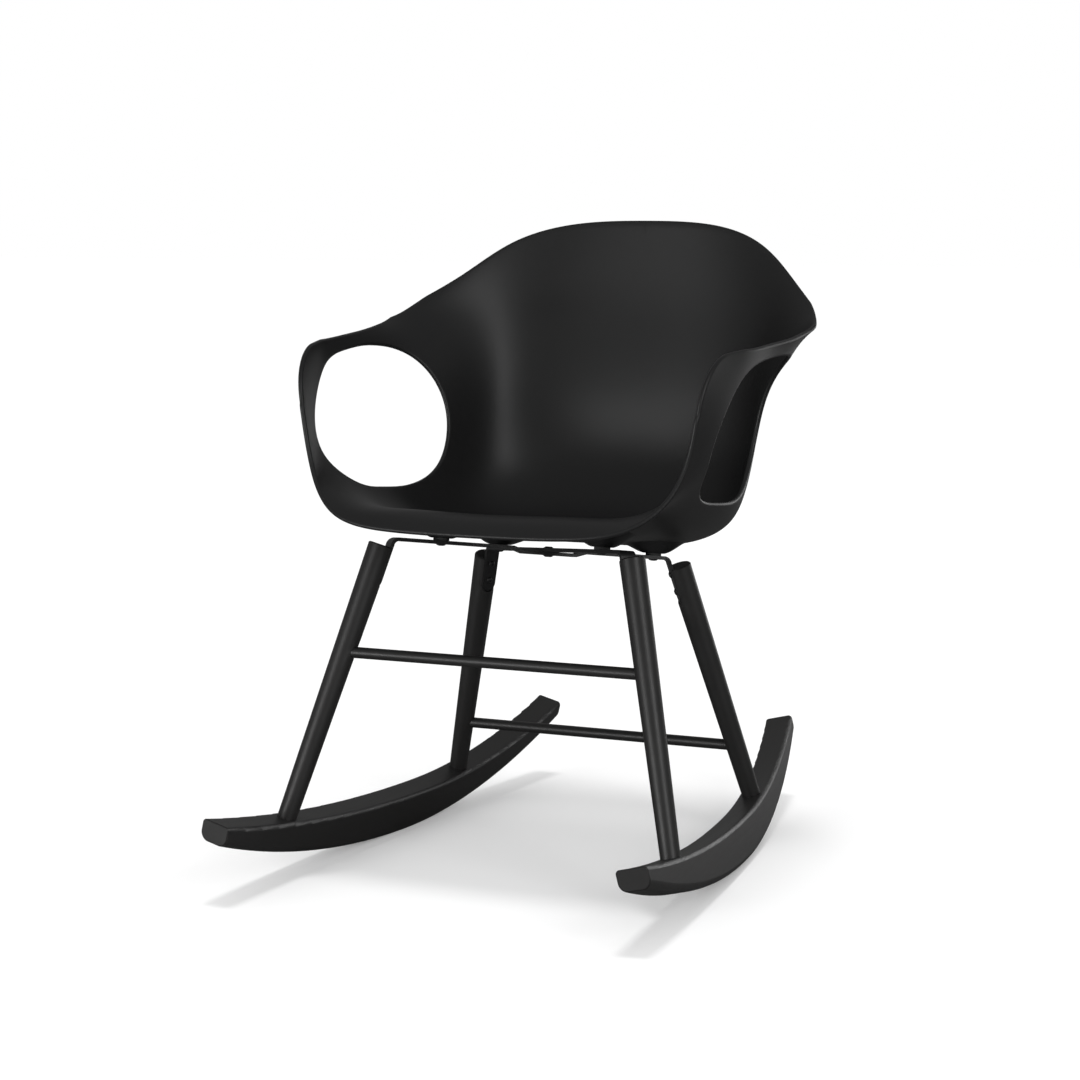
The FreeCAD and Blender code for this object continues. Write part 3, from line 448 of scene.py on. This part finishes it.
edge_u, edge_v = pushed_off(open_u, open_v, rim_u, rim_v, HALF)
pushed = np.linalg.norm(shell_point(edge_u, edge_v) - shell_point(open_u, open_v), axis=-1)
print("edge pushed back by mm:", pushed.min().round(2), "to", pushed.max().round(2))

# %% Fill the sheet with rings
# The rings lie a little closer together near both edges.
RINGS = 44
EVEN_SHARE = 0.55
ON_LINE = 1e-6
share = np.linspace(0, 1, RINGS)
share = EVEN_SHARE * share + (1 - EVEN_SHARE) * (1 - np.cos(math.pi * share)) / 2
grid_u = edge_u[None, :] + (rim_u - edge_u)[None, :] * share[:, None]
grid_v = edge_v[None, :] + (rim_v - edge_v)[None, :] * share[:, None]
on_middle = grid_u < ON_LINE
grid_u = np.where(on_middle, 0.0, grid_u)
middle_points = shell_point(grid_u, grid_v)
middle_normals = shell_normal(grid_u, grid_v)
middle_points[on_middle, 0] = 0.0
middle_normals[on_middle, 0] = 0.0
print("grid:", grid_u.shape, "points on the middle line:", int(on_middle.sum()))


# %% Round the two free edges
EDGE_STEPS = 6


def round_edge(points, normals, inner_points):
    """Rows of points on a half circle round an edge, from the outer side to the inner one.

    On the middle line there is no edge: the points there go straight through the wall, and at the
    line's two ends the edge runs square across it.
    """
    tangent = np.roll(points, -1, axis=0) - np.roll(points, 1, axis=0)
    on_line = np.abs(points[:, 0]) < ON_LINE
    at_end = on_line & (~np.roll(on_line, 1) | ~np.roll(on_line, -1))
    tangent[at_end] = (1.0, 0.0, 0.0)
    tangent /= np.linalg.norm(tangent, axis=1, keepdims=True)
    out = points - inner_points
    out -= (out * normals).sum(1, keepdims=True) * normals
    out -= (out * tangent).sum(1, keepdims=True) * tangent
    out[on_line, 0] = 0.0
    out /= np.maximum(np.linalg.norm(out, axis=1, keepdims=True), 1e-9)
    out[on_line & ~at_end] = 0.0
    lines = []
    for k in range(1, EDGE_STEPS):
        angle = math.pi * k / EDGE_STEPS
        lines.append(points + HALF * (math.cos(angle) * normals + math.sin(angle) * out))
    return lines


outer_side = middle_points + HALF * middle_normals
inner_side = middle_points - HALF * middle_normals
# Two rings further in shows which way an edge faces.
opening_edge = round_edge(middle_points[0], middle_normals[0], middle_points[2])
rim_edge = round_edge(middle_points[-1], middle_normals[-1], middle_points[-3])
print("rows round each edge:", len(rim_edge))

# %% Join the half shell into one closed skin
# The skin is one long roll of rings: out over the outer side, round the rim, back over the inner
# side and round the opening.
roll = np.array([*outer_side, *rim_edge, *inner_side[::-1], *opening_edge[::-1]])
ring_count = len(roll)
on_line = np.abs(roll[..., 0]) < ON_LINE
quads = []
for i in range(ring_count):
    j = (i + 1) % ring_count
    for a in range(ROUND):
        b = (a + 1) % ROUND
        if on_line[i, a] and on_line[i, b] and on_line[j, a] and on_line[j, b]:
            continue
        quads.append((i * ROUND + a, i * ROUND + b, j * ROUND + b, j * ROUND + a))
half_points = roll.reshape(-1, 3)
print("half shell:", len(half_points), "points,", len(quads), "faces")


# %% Mirror, weld and turn the faces outwards
WELD = 1e-6


def new_object(name, data):
    """A new object in the scene."""
    obj = bpy.data.objects.new(name, data)
    bpy.context.scene.collection.objects.link(obj)
    return obj


def skin_object(name, points, faces):
    """A smooth mesh object of the chair from points in metres."""
    mesh = bpy.data.meshes.new(name)
    mesh.from_pydata([tuple(p) for p in points], [], [tuple(f) for f in faces])
    mesh.update()
    mesh.polygons.foreach_set("use_smooth", [True] * len(mesh.polygons))
    return new_object(name, mesh)


def face_outwards(obj):
    """Welds doubles and turns all faces of a closed skin outwards."""
    work = bmesh.new()
    work.from_mesh(obj.data)
    bmesh.ops.remove_doubles(work, verts=work.verts, dist=WELD)
    bmesh.ops.recalc_face_normals(work, faces=work.faces)
    if work.calc_volume(signed=True) < 0:
        bmesh.ops.reverse_faces(work, faces=work.faces)
    open_edges = sum(1 for e in work.edges if not e.is_manifold)
    work.to_mesh(obj.data)
    volume = work.calc_volume(signed=True)
    work.free()
    return open_edges, volume


count = len(half_points)
both = np.concatenate([half_points, half_points * np.array([-1.0, 1.0, 1.0])])
faces = quads + [tuple(i + count for i in reversed(q)) for q in quads]
shell = skin_object("shell_skin", on_chair(both), faces)
open_edges, volume = face_outwards(shell)
print("shell skin:", len(shell.data.vertices), "points, open edges:", open_edges,
      "volume cm3:", round(volume * 1e6, 1))

# %% [markdown]
# ## The bosses under the shell
# Four shallow cones carry the shell's fixings and fade into its underside. Each is turned like a
# pot: rings of points go from the wall down to the flat tip. The outermost ring lies a hair inside
# the wall all the way round, so that the cone grows out of the underside without a step.

# %% Bosses that grow out of the underside
TIP_RADIUS, ROOT_RADIUS, TIP_HEIGHT = 13.5, 40.0, 3.1
INTO_WALL = 0.15  # how far the outermost ring lies inside the wall
SOFT_SHARE = 0.55  # how much of the cone's fall is a soft S, the rest being straight
LID_SHARE, LID_DEPTH = 0.96, 2.0  # the hidden lid inside the wall: its width and its depth


def islands(node):
    """The separate solids of a CAD node, each as an array of its points in metres."""
    work = bmesh.new()
    work.from_mesh(frame["nodes"][node].data)
    bmesh.ops.remove_doubles(work, verts=work.verts, dist=WELD)
    left, found = set(work.verts), []
    for first in work.verts:
        if first not in left:
            continue
        left.remove(first)
        queue, group = [first], []
        while queue:
            vert = queue.pop()
            group.append(tuple(vert.co))
            for edge in vert.link_edges:
                other = edge.other_vert(vert)
                if other in left:
                    left.remove(other)
                    queue.append(other)
        found.append(np.array(group))
    work.free()
    return found


def in_seat_frame(point):
    """A point of the chair in metres, as a seat-frame point in millimetres."""
    x, y, z = np.asarray(point) / MM - SEAT_ORIGIN
    return np.array([x, y * COS_T - z * SIN_T, y * SIN_T + z * COS_T])


boss_centres = [in_seat_frame((points.min(axis=0) + points.max(axis=0)) / 2)[:2]
                for points in islands("seat_spacers")]
print("boss centres (across, depth):", [c.round(1).tolist() for c in boss_centres])


BOSS_TURNS = 12
pan_u, pan_v = np.meshgrid(np.linspace(-0.7, 0.7, 71), np.linspace(0.02, 0.6, 59), indexing="ij")


def outer_point(u, v):
    """Points of the shell's outer side."""
    return shell_point(u, v) + HALF * shell_normal(u, v)


def underside(across, depth):
    """Height of the shell's underside at places of the seat plane."""
    targets = np.stack([across, depth], axis=1)
    u, v = nearest_places(shell_point(pan_u, pan_v)[..., :2], targets, pan_u, pan_v)
    u, v = newton(lambda a, b: outer_point(a, b)[:, :2], targets, u, v, BOSS_TURNS)
    return outer_point(u, v)[:, 2]


def boss(centre, around=72, down=22):
    """Points and faces of one boss in the seat frame."""
    turn = np.linspace(0, 2 * math.pi, around, endpoint=False)

    def circle(radius):
        return centre[0] + radius * np.cos(turn), centre[1] + radius * np.sin(turn)

    cone = []
    for s in np.linspace(0, 1, down):
        x, d = circle(ROOT_RADIUS + (TIP_RADIUS - ROOT_RADIUS) * s)
        fall = s * s * (3 - 2 * s) * SOFT_SHARE + s * (1 - SOFT_SHARE)
        wall = underside(x, d) + INTO_WALL
        cone.append(np.stack([x, d, wall + (TIP_HEIGHT - wall) * fall], axis=1))
    lid = np.stack([*circle(ROOT_RADIUS * LID_SHARE), cone[0][:, 2] + LID_DEPTH], axis=1)
    rings = [np.array([[*centre, lid[:, 2].mean()]]), lid, *cone, np.array([[*centre, TIP_HEIGHT]])]
    starts = np.cumsum([0] + [len(ring) for ring in rings])
    faces = []
    for i in range(len(rings) - 1):
        a, b = starts[i], starts[i + 1]
        for k in range(around):
            n = (k + 1) % around
            if len(rings[i]) == 1:
                faces.append((a, b + k, b + n))
            elif len(rings[i + 1]) == 1:
                faces.append((a + k, b, a + n))
            else:
                faces.append((a + k, b + k, b + n, a + n))
    return np.concatenate(rings), faces


boss_points, boss_faces = [], []
for centre in boss_centres:
    points, own_faces = boss(centre)
    boss_faces += [tuple(i + len(boss_points) for i in face) for face in own_faces]
    boss_points += list(points)
bosses = skin_object("shell_bosses", on_chair(boss_points), boss_faces)
open_edges, volume = face_outwards(bosses)
print("bosses:", len(bosses.data.polygons), "faces, open edges:", open_edges,
      "volume cm3:", round(volume * 1e6, 2))

# %% Bosses and skin are one moulding
bpy.ops.object.select_all(action="DESELECT")
shell.select_set(True)
bosses.select_set(True)
bpy.context.view_layer.objects.active = shell
bpy.ops.object.join()
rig.replaces(shell, "seat_shell")
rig.ride(shell, BODY)
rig.slot(shell, "shell_plastic")
lowest = np.array([v.co for v in shell.data.vertices]).min(axis=0)
print("shell's lowest x, y and z:", lowest.round(4))

# %% [markdown]
# ## Words for shaders
# A finish is a small formula: grain runs along a piece and gloss varies a little. To write such
# formulas as plain maths, one class wraps a socket and gives it + and *. Each operator adds a Math
# node. Any other node comes from one function that takes the node's type, its settings and its
# inputs.

# %% A socket that can do sums
class Field:
    """A value that changes over the surface, held by an output socket of a material."""

    def __init__(self, tree, socket):
        self.tree = tree
        self.socket = socket

    def math_node(self, operation, other):
        """A Math node's result for this field and another value."""
        node = self.tree.nodes.new("ShaderNodeMath")
        node.operation = operation
        feed(self.tree, node.inputs[0], self)
        feed(self.tree, node.inputs[1], other)
        return Field(self.tree, node.outputs[0])

    def __add__(self, other):
        return self.math_node("ADD", other)

    __radd__ = __add__

    def __mul__(self, other):
        return self.math_node("MULTIPLY", other)

    __rmul__ = __mul__


def feed(tree, socket, value):
    """Links a field or an output to an input, or sets the input to a plain value."""
    if isinstance(value, Field):
        value = value.socket
    if isinstance(value, bpy.types.NodeSocket):
        tree.links.new(value, socket)
    else:
        socket.default_value = value


def in_use(sockets, name):
    """The enabled socket of that name; A and B of a Mix node depend on its data type."""
    return next(s for s in sockets if s.name == name and s.enabled)


def add_node(tree, kind, settings=None, **inputs):
    """Adds a node: its type, its settings, and by socket name, with _ for a space, what goes in."""
    node = tree.nodes.new(kind)
    for key, value in (settings or {}).items():
        setattr(node, key, value)
    for key, value in inputs.items():
        feed(tree, in_use(node.inputs, key.replace("_", " ")), value)
    return node


class Finish:
    """A material being built: its tree, its main shader and methods for the usual nodes."""

    def __init__(self, name):
        self.material = bpy.data.materials.new(name)
        self.material.use_nodes = True
        self.tree = self.material.node_tree
        self.shader = next(n for n in self.tree.nodes if n.type == "BSDF_PRINCIPLED")

    def field(self, kind, output, settings=None, **inputs):
        """The named output of a new node."""
        node = add_node(self.tree, kind, settings, **inputs)
        return Field(self.tree, in_use(node.outputs, output))

    def place(self, scale=(1, 1, 1)):
        """Object coordinates, stretched."""
        raw = self.field("ShaderNodeTexCoord", "Object")
        return self.field("ShaderNodeMapping", "Vector", Vector=raw, Scale=scale)

    def noise(self, where, scale, detail=3.0, roughness=0.5):
        """Smooth noise from 0 to 1."""
        return self.field("ShaderNodeTexNoise", "Fac", Vector=where, Scale=scale, Detail=detail,
                          Roughness=roughness)

    def blend(self, amount, first, second):
        """A colour between two, by a field."""
        return self.field("ShaderNodeMix", "Result", {"data_type": "RGBA"},
                          Factor=amount, A=first, B=second)

    def bump(self, height, distance, strength=1.0, after=None):
        """A normal that leans with a height field."""
        beneath = {} if after is None else {"Normal": after}
        return self.field("ShaderNodeBump", "Normal", Height=height, Distance=distance,
                          Strength=strength, **beneath)

    def set(self, **sockets):
        """Sets sockets of the main shader."""
        for key, value in sockets.items():
            feed(self.tree, self.shader.inputs[key.replace("_", " ")], value)


def paint(obj, finish):
    """Gives an object one finish."""
    obj.data.materials.clear()
    obj.data.materials.append(finish.material)


# %% [markdown]
# ## Black polypropylene
# The shell comes from a mould with a fine spark texture, so its black is soft: the gloss is broad
# and weak, and slightly uneven where hands and clothes have rubbed it. Two scales of noise move
# the roughness, and a very fine one gives the texture.

# %% Shell plastic
plastic = Finish("black_moulded_plastic")
coords = plastic.place()
cloudy = plastic.noise(coords, 7.0, detail=2.0)
grainy = plastic.noise(coords, 900.0, detail=2.0, roughness=0.6)
shade = plastic.blend(cloudy, (0.0060, 0.0060, 0.0062, 1), (0.0078, 0.0078, 0.0080, 1))
plastic.set(Base_Color=shade, Roughness=0.40 + cloudy * 0.06 + grainy * 0.04,
            Normal=plastic.bump(grainy, 0.00012, 0.35), Specular_IOR_Level=0.42)
paint(shell, plastic)
print("plastic nodes:", len(plastic.tree.nodes))


# %% [markdown]
# ## Black-stained beech
# The legs, stretchers and rockers are turned or bent beech under a black stain and a satin
# lacquer. The grain shows only as faint long streaks in the gloss. The streaks follow each piece's
# length, so the noise is squeezed across the piece and stretched along it.

# %% Stained wood along a direction
def stained_beech(name, along):
    """Black-stained wood whose grain runs along an axis of the chair."""
    wood = Finish(name)
    coarse_scale, fine_scale = [38.0] * 3, [330.0] * 3
    coarse_scale[along], fine_scale[along] = 2.2, 14.0
    streaks = wood.noise(wood.place(coarse_scale), 1.0, detail=4.0, roughness=0.6)
    pores = wood.noise(wood.place(fine_scale), 1.0, detail=2.0)
    tone = wood.blend(streaks, (0.0075, 0.0073, 0.0072, 1), (0.0135, 0.0130, 0.0127, 1))
    wood.set(Base_Color=tone, Roughness=0.36 + streaks * 0.10 + pores * 0.05,
             Normal=wood.bump(pores, 0.0002, 0.25, after=wood.bump(streaks, 0.0006, 0.2)),
             Specular_IOR_Level=0.5)
    return wood


X_AXIS, Y_AXIS, Z_AXIS = range(3)
upright = stained_beech("black_beech_upright", Z_AXIS)
crosswise = stained_beech("black_beech_across", X_AXIS)
lengthwise = stained_beech("black_beech_lengthwise", Y_AXIS)
WOODS = {"leg_front": upright, "leg_rear": upright, "stretcher": crosswise, "rocker": lengthwise}
nodes = frame["nodes"]
wooden = {name: wood for name in nodes for kind, wood in WOODS.items() if kind in name}
for name, wood in wooden.items():
    paint(nodes[name], wood)
print("wooden pieces:", list(wooden))


# %% [markdown]
# ## Powder-coated steel, brass and rubber
# Powder coat has a faint orange peel, so its bump is rounder than the plastic's. The brass inserts
# and the rubber discs hardly show, but each has its own finish for when the chair is turned over.

# %% Hardware finishes
steel = Finish("black_powder_coat")
peel = steel.noise(steel.place(), 620.0, detail=1.0)
tint = steel.noise(steel.place(), 30.0, detail=2.0)
steel.set(Base_Color=steel.blend(tint, (0.006, 0.006, 0.0062, 1), (0.009, 0.009, 0.0092, 1)),
          Roughness=0.38 + tint * 0.08, Normal=steel.bump(peel, 0.0002, 0.3))

brass = Finish("machined_brass")
turning = brass.noise(brass.place((60, 60, 900)), 1.0, detail=2.0)
brass.set(Base_Color=brass.blend(turning, (0.55, 0.36, 0.13, 1), (0.70, 0.50, 0.20, 1)),
          Roughness=0.28 + turning * 0.15, Metallic=1.0)

rubber = Finish("black_rubber")
dusty = rubber.noise(rubber.place(), 120.0, detail=3.0)
rubber.set(Base_Color=rubber.blend(dusty, (0.012, 0.012, 0.012, 1), (0.022, 0.022, 0.022, 1)),
           Roughness=0.75 + dusty * 0.15, Normal=rubber.bump(dusty, 0.0002, 0.3))

for name in ("strap_upper", "strap_lower", "cross_rivet"):
    paint(nodes[name], steel)
paint(nodes["threaded_inserts"], brass)
paint(nodes["seat_spacers"], rubber)
print("hardware finishes:", [finish.material.name for finish in (steel, brass, rubber)])

# %% [markdown]
# ## Screws with real heads
# Twelve screws show: two in each leg's tab and one under each boss. A small Geometry Nodes tree
# makes one screw with a domed head and a hexagon socket, and sets it on points that carry their
# own axis. The points, axes and sizes are measured from the frame's plain screws.

# %% Measure the plain screws
def measure_screws(node):
    """Head tops and axes of a node's screws in metres, with their head radius and full length."""
    tops, axes, radii, lengths = [], [], [], []
    for points in islands(node):
        centre = (points.max(axis=0) + points.min(axis=0)) / 2
        axis = np.linalg.svd(points - points.mean(axis=0), full_matrices=False)[2][0]
        along = (points - centre) @ axis
        off_axis = (points - centre) - along[:, None] * axis
        middle = (off_axis.max(axis=0) + off_axis.min(axis=0)) / 2
        radius = np.linalg.norm(off_axis - middle, axis=1)
        if along[np.argmax(radius)] < 0.5 * (along.min() + along.max()):
            axis, along = -axis, -along
        tops.append(centre + middle + axis * along.max())
        axes.append(axis)
        radii.append(radius.max())
        lengths.append(np.ptp(along))
    return np.array(tops), np.array(axes), float(np.mean(radii)), float(np.mean(lengths))


# %% The screw tree
# A dome is cut flat where it meets the tab, bored with a hexagon socket and joined to a shank.
SCREW_SIZES = ("Head Radius", "Head Height", "Shank Radius", "Length")
ROUND_SIDES, SHANK_SIDES, HEXAGON = 40, 32, 6
CUTTER_WIDTH, CUTTER_DEPTH = 1.2, 2.0  # of the head's radius and height
SOCKET_WIDTH, SOCKET_DEPTH = 0.42, 1.2  # of the head's radius and height


def screw_tree(material):
    """A node tree that sets a socket-head screw on every point, along the point's own axis."""
    tree = bpy.data.node_groups.new("socket_screws", "GeometryNodeTree")
    face = tree.interface
    face.new_socket("Geometry", in_out="INPUT", socket_type="NodeSocketGeometry")
    for label in SCREW_SIZES:
        face.new_socket(label, in_out="INPUT", socket_type="NodeSocketFloat")
    face.new_socket("Geometry", in_out="OUTPUT", socket_type="NodeSocketGeometry")

    def node(kind, output, settings=None, **inputs):
        return in_use(add_node(tree, kind, settings, **inputs).outputs, output)

    def maths(operation, first, second):
        made = tree.nodes.new("ShaderNodeMath")
        made.operation = operation
        feed(tree, made.inputs[0], first)
        feed(tree, made.inputs[1], second)
        return made.outputs[0]

    def moved(mesh, z, **more):
        shift = node("ShaderNodeCombineXYZ", "Vector", Z=z)
        return node("GeometryNodeTransform", "Geometry", Geometry=mesh, Translation=shift, **more)

    def cylinder(sides, radius, depth):
        return node("GeometryNodeMeshCylinder", "Mesh", Vertices=sides, Radius=radius, Depth=depth)

    def boolean(operation, *meshes):
        """Intersects all meshes, or takes the second one from the first."""
        made = add_node(tree, "GeometryNodeMeshBoolean", {"operation": operation})
        minus = operation == "DIFFERENCE"
        for mesh, socket in zip(meshes, ("Mesh 1" if minus else "Mesh 2", "Mesh 2")):
            tree.links.new(mesh, made.inputs[socket])
        return made.outputs["Mesh"]

    given = tree.nodes.new("NodeGroupInput").outputs
    radius, height, shank, length = (given[label] for label in SCREW_SIZES)

    ball = node("GeometryNodeMeshUVSphere", "Mesh", Segments=ROUND_SIDES, Rings=24, Radius=1.0)
    dome = moved(ball, maths("MULTIPLY", height, -1.0),
                 Scale=node("ShaderNodeCombineXYZ", "Vector", X=radius, Y=radius, Z=height))
    cutter = cylinder(ROUND_SIDES, maths("MULTIPLY", radius, CUTTER_WIDTH),
                      maths("MULTIPLY", height, CUTTER_DEPTH))
    cap = boolean("INTERSECT", dome, cutter)
    socket_cutter = cylinder(HEXAGON, maths("MULTIPLY", radius, SOCKET_WIDTH),
                             maths("MULTIPLY", height, SOCKET_DEPTH))
    head = boolean("DIFFERENCE", cap, socket_cutter)
    body_length = maths("SUBTRACT", length, height)
    drop = maths("SUBTRACT", maths("MULTIPLY", body_length, -0.5), height)
    stem = moved(cylinder(SHANK_SIDES, shank, body_length), drop)
    whole = tree.nodes.new("GeometryNodeJoinGeometry")
    for mesh in (stem, head):
        tree.links.new(mesh, whole.inputs[0])

    axis = node("GeometryNodeInputNamedAttribute", "Attribute", {"data_type": "FLOAT_VECTOR"},
                Name="axis")
    turned = node("FunctionNodeAlignRotationToVector", "Rotation", {"axis": "Z"}, Vector=axis)
    placed = node("GeometryNodeInstanceOnPoints", "Instances", Points=given["Geometry"],
                  Instance=whole.outputs[0], Rotation=turned)
    real = node("GeometryNodeRealizeInstances", "Geometry", Geometry=placed)
    dressed = node("GeometryNodeSetMaterial", "Geometry", Geometry=real, Material=material)
    tree.links.new(dressed, tree.nodes.new("NodeGroupOutput").inputs[0])
    return tree


# %% Set the screws and make them plain meshes
SHARP_FROM = math.radians(35)
tree = screw_tree(steel.material)
inputs_by_name = {item.name: item.identifier for item in tree.interface.items_tree
                  if item.item_type == "SOCKET" and item.in_out == "INPUT"}


def set_screws(node, head_height, shank_radius):
    """Replaces a node's plain screws with screws from the tree."""
    tops, axes, head_radius, length = measure_screws(node)
    points = bpy.data.meshes.new(f"{node}_points")
    points.from_pydata([tuple(p) for p in tops], [], [])
    points.attributes.new("axis", "FLOAT_VECTOR", "POINT").data.foreach_set("vector", axes.ravel())
    holder = new_object(f"{node}_points", points)
    modifier = holder.modifiers.new("screws", "NODES")
    modifier.node_group = tree
    for label, value in zip(SCREW_SIZES, (head_radius, head_height, shank_radius, length)):
        modifier[inputs_by_name[label]] = value
    bpy.context.view_layer.update()
    seen = holder.evaluated_get(bpy.context.evaluated_depsgraph_get())
    mesh = bpy.data.meshes.new_from_object(seen)
    mesh.name = f"{node}_heads"
    bpy.data.objects.remove(holder)
    mesh.shade_smooth()
    mesh.set_sharp_from_angle(angle=SHARP_FROM)
    obj = new_object(f"{node}_heads", mesh)
    paint(obj, steel)
    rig.replaces(obj, node)
    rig.ride(obj, BODY)
    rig.slot(obj, "black_steel")
    print(node, len(tops), "screws, head radius mm", round(head_radius / MM, 2), "length mm",
          round(length / MM, 2), "faces", len(mesh.polygons))


set_screws("leg_screws", head_height=2.6 * MM, shank_radius=2.5 * MM)
set_screws("shell_screws", head_height=2.2 * MM, shank_radius=3.0 * MM)

# %% [markdown]
# ## Floor, light and camera
# The chair stands on a plain white floor in even light from all round, with a weaker light from
# above, so the rockers put soft shadows straight beneath them and the high seat hardly any. Soft
# panels give the long highlights down the bowl and the legs, and a low strip lights the fronts of
# the rockers.
#
# The floor adds a little white of its own for the camera, so that it stays white while it still
# takes the shadow. Mirrored in the chair it is dark, so that the black pieces stay black.

# %% Floor
bpy.ops.mesh.primitive_plane_add(size=60, location=(0, 0, 0))
floor = bpy.context.object
floor.name = "studio_floor"
ground = Finish("white_floor")
to_camera = ground.field("ShaderNodeLightPath", "Is Camera Ray")
mirrored = ground.field("ShaderNodeLightPath", "Is Glossy Ray")
ground.set(Base_Color=ground.blend(mirrored, (0.80, 0.80, 0.80, 1), (0.10, 0.10, 0.10, 1)),
           Roughness=0.9, Emission_Color=(1, 1, 1, 1), Emission_Strength=to_camera * 0.16,
           Specular_IOR_Level=0.0)
paint(floor, ground)
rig.stage(floor)
print("floor nodes:", len(ground.tree.nodes))

# %% World
WORLD_STRENGTH, WORLD_MIRRORED, WORLD_SEEN = 0.80, 0.22, 1.0
world = bpy.data.worlds.new("studio_world")
bpy.context.scene.world = world
world.use_nodes = True
sky = world.node_tree
path = sky.nodes.new("ShaderNodeLightPath")


def either(ray, otherwise, value):
    """A strength that is one value for a kind of ray and another for the rest."""
    mix = add_node(sky, "ShaderNodeMix", {"data_type": "FLOAT"},
                   Factor=path.outputs[ray], A=otherwise, B=value)
    return in_use(mix.outputs, "Result")


around = either("Is Glossy Ray", WORLD_STRENGTH, WORLD_MIRRORED)
background = sky.nodes["Background"].inputs
feed(sky, background["Strength"], either("Is Camera Ray", around, WORLD_SEEN))
background["Color"].default_value = (1, 1, 1, 1)
print("world nodes:", len(sky.nodes))


# %% Lamps
SUN_SPREAD = math.radians(12)


def lamp(name, kind, spot, target, strength):
    """A lamp at a spot, facing a target."""
    light = bpy.data.lights.new(name, kind)
    light.energy = strength
    obj = new_object(name, light)
    obj.location = spot
    obj.rotation_euler = (Vector(target) - Vector(spot)).to_track_quat("-Z", "Y").to_euler()
    return obj


def panel(name, spot, target, width, height, watts):
    """A large soft panel light."""
    light = lamp(name, "AREA", spot, target, watts).data
    light.shape = "RECTANGLE"
    light.size, light.size_y = width, height


overhead = lamp("overhead", "SUN", (0.05, -0.1, 4), (0, 0, 0), 0.9)
overhead.data.angle = SUN_SPREAD
overhead.visible_glossy = False
panel("left_panel", (-2.0, -3.6, 0.7), (0, 0, 0.3), 1.6, 1.2, 28)
panel("right_panel", (3.2, -2.2, 1.9), (0, 0, 0.5), 1.2, 2.2, 45)
panel("low_strip", (-1.6, -3.6, 0.15), (0, -0.3, 0.1), 1.6, 0.35, 30)
panel("rear_panel", (0.9, 3.6, 0.6), (0, 0, 0.3), 2.5, 1.2, 15)
print("lamps:", [light.name for light in bpy.data.lights])

# %% Camera
# Place and lens were solved from the photograph; the frame is square.
CAMERA_TURN = math.radians(22.93)
CAMERA_DROP = math.radians(7.6)
CAMERA_SPOT = (1.2080, -2.8990, 0.8186)
LENS_MM, SENSOR_MM = 83.77, 36
camera_data = bpy.data.cameras.new("photo_camera")
camera_data.lens = LENS_MM
camera_data.sensor_width = SENSOR_MM
camera = new_object("photo_camera", camera_data)
camera.location = CAMERA_SPOT
camera.rotation_euler = (math.pi / 2 - CAMERA_DROP, 0, CAMERA_TURN)
bpy.context.scene.camera = camera
bpy.context.scene.view_settings.view_transform = "Standard"
print("camera:", CAMERA_SPOT, "lens mm:", LENS_MM)

# %% Sizes, and done
with open("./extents.json", "w") as out:
    json.dump({"cad": [list(map(float, p)) for p in CAD_BOX],
               "visual": [list(map(float, p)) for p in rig.bounds()]}, out)
print(open("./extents.json").read())
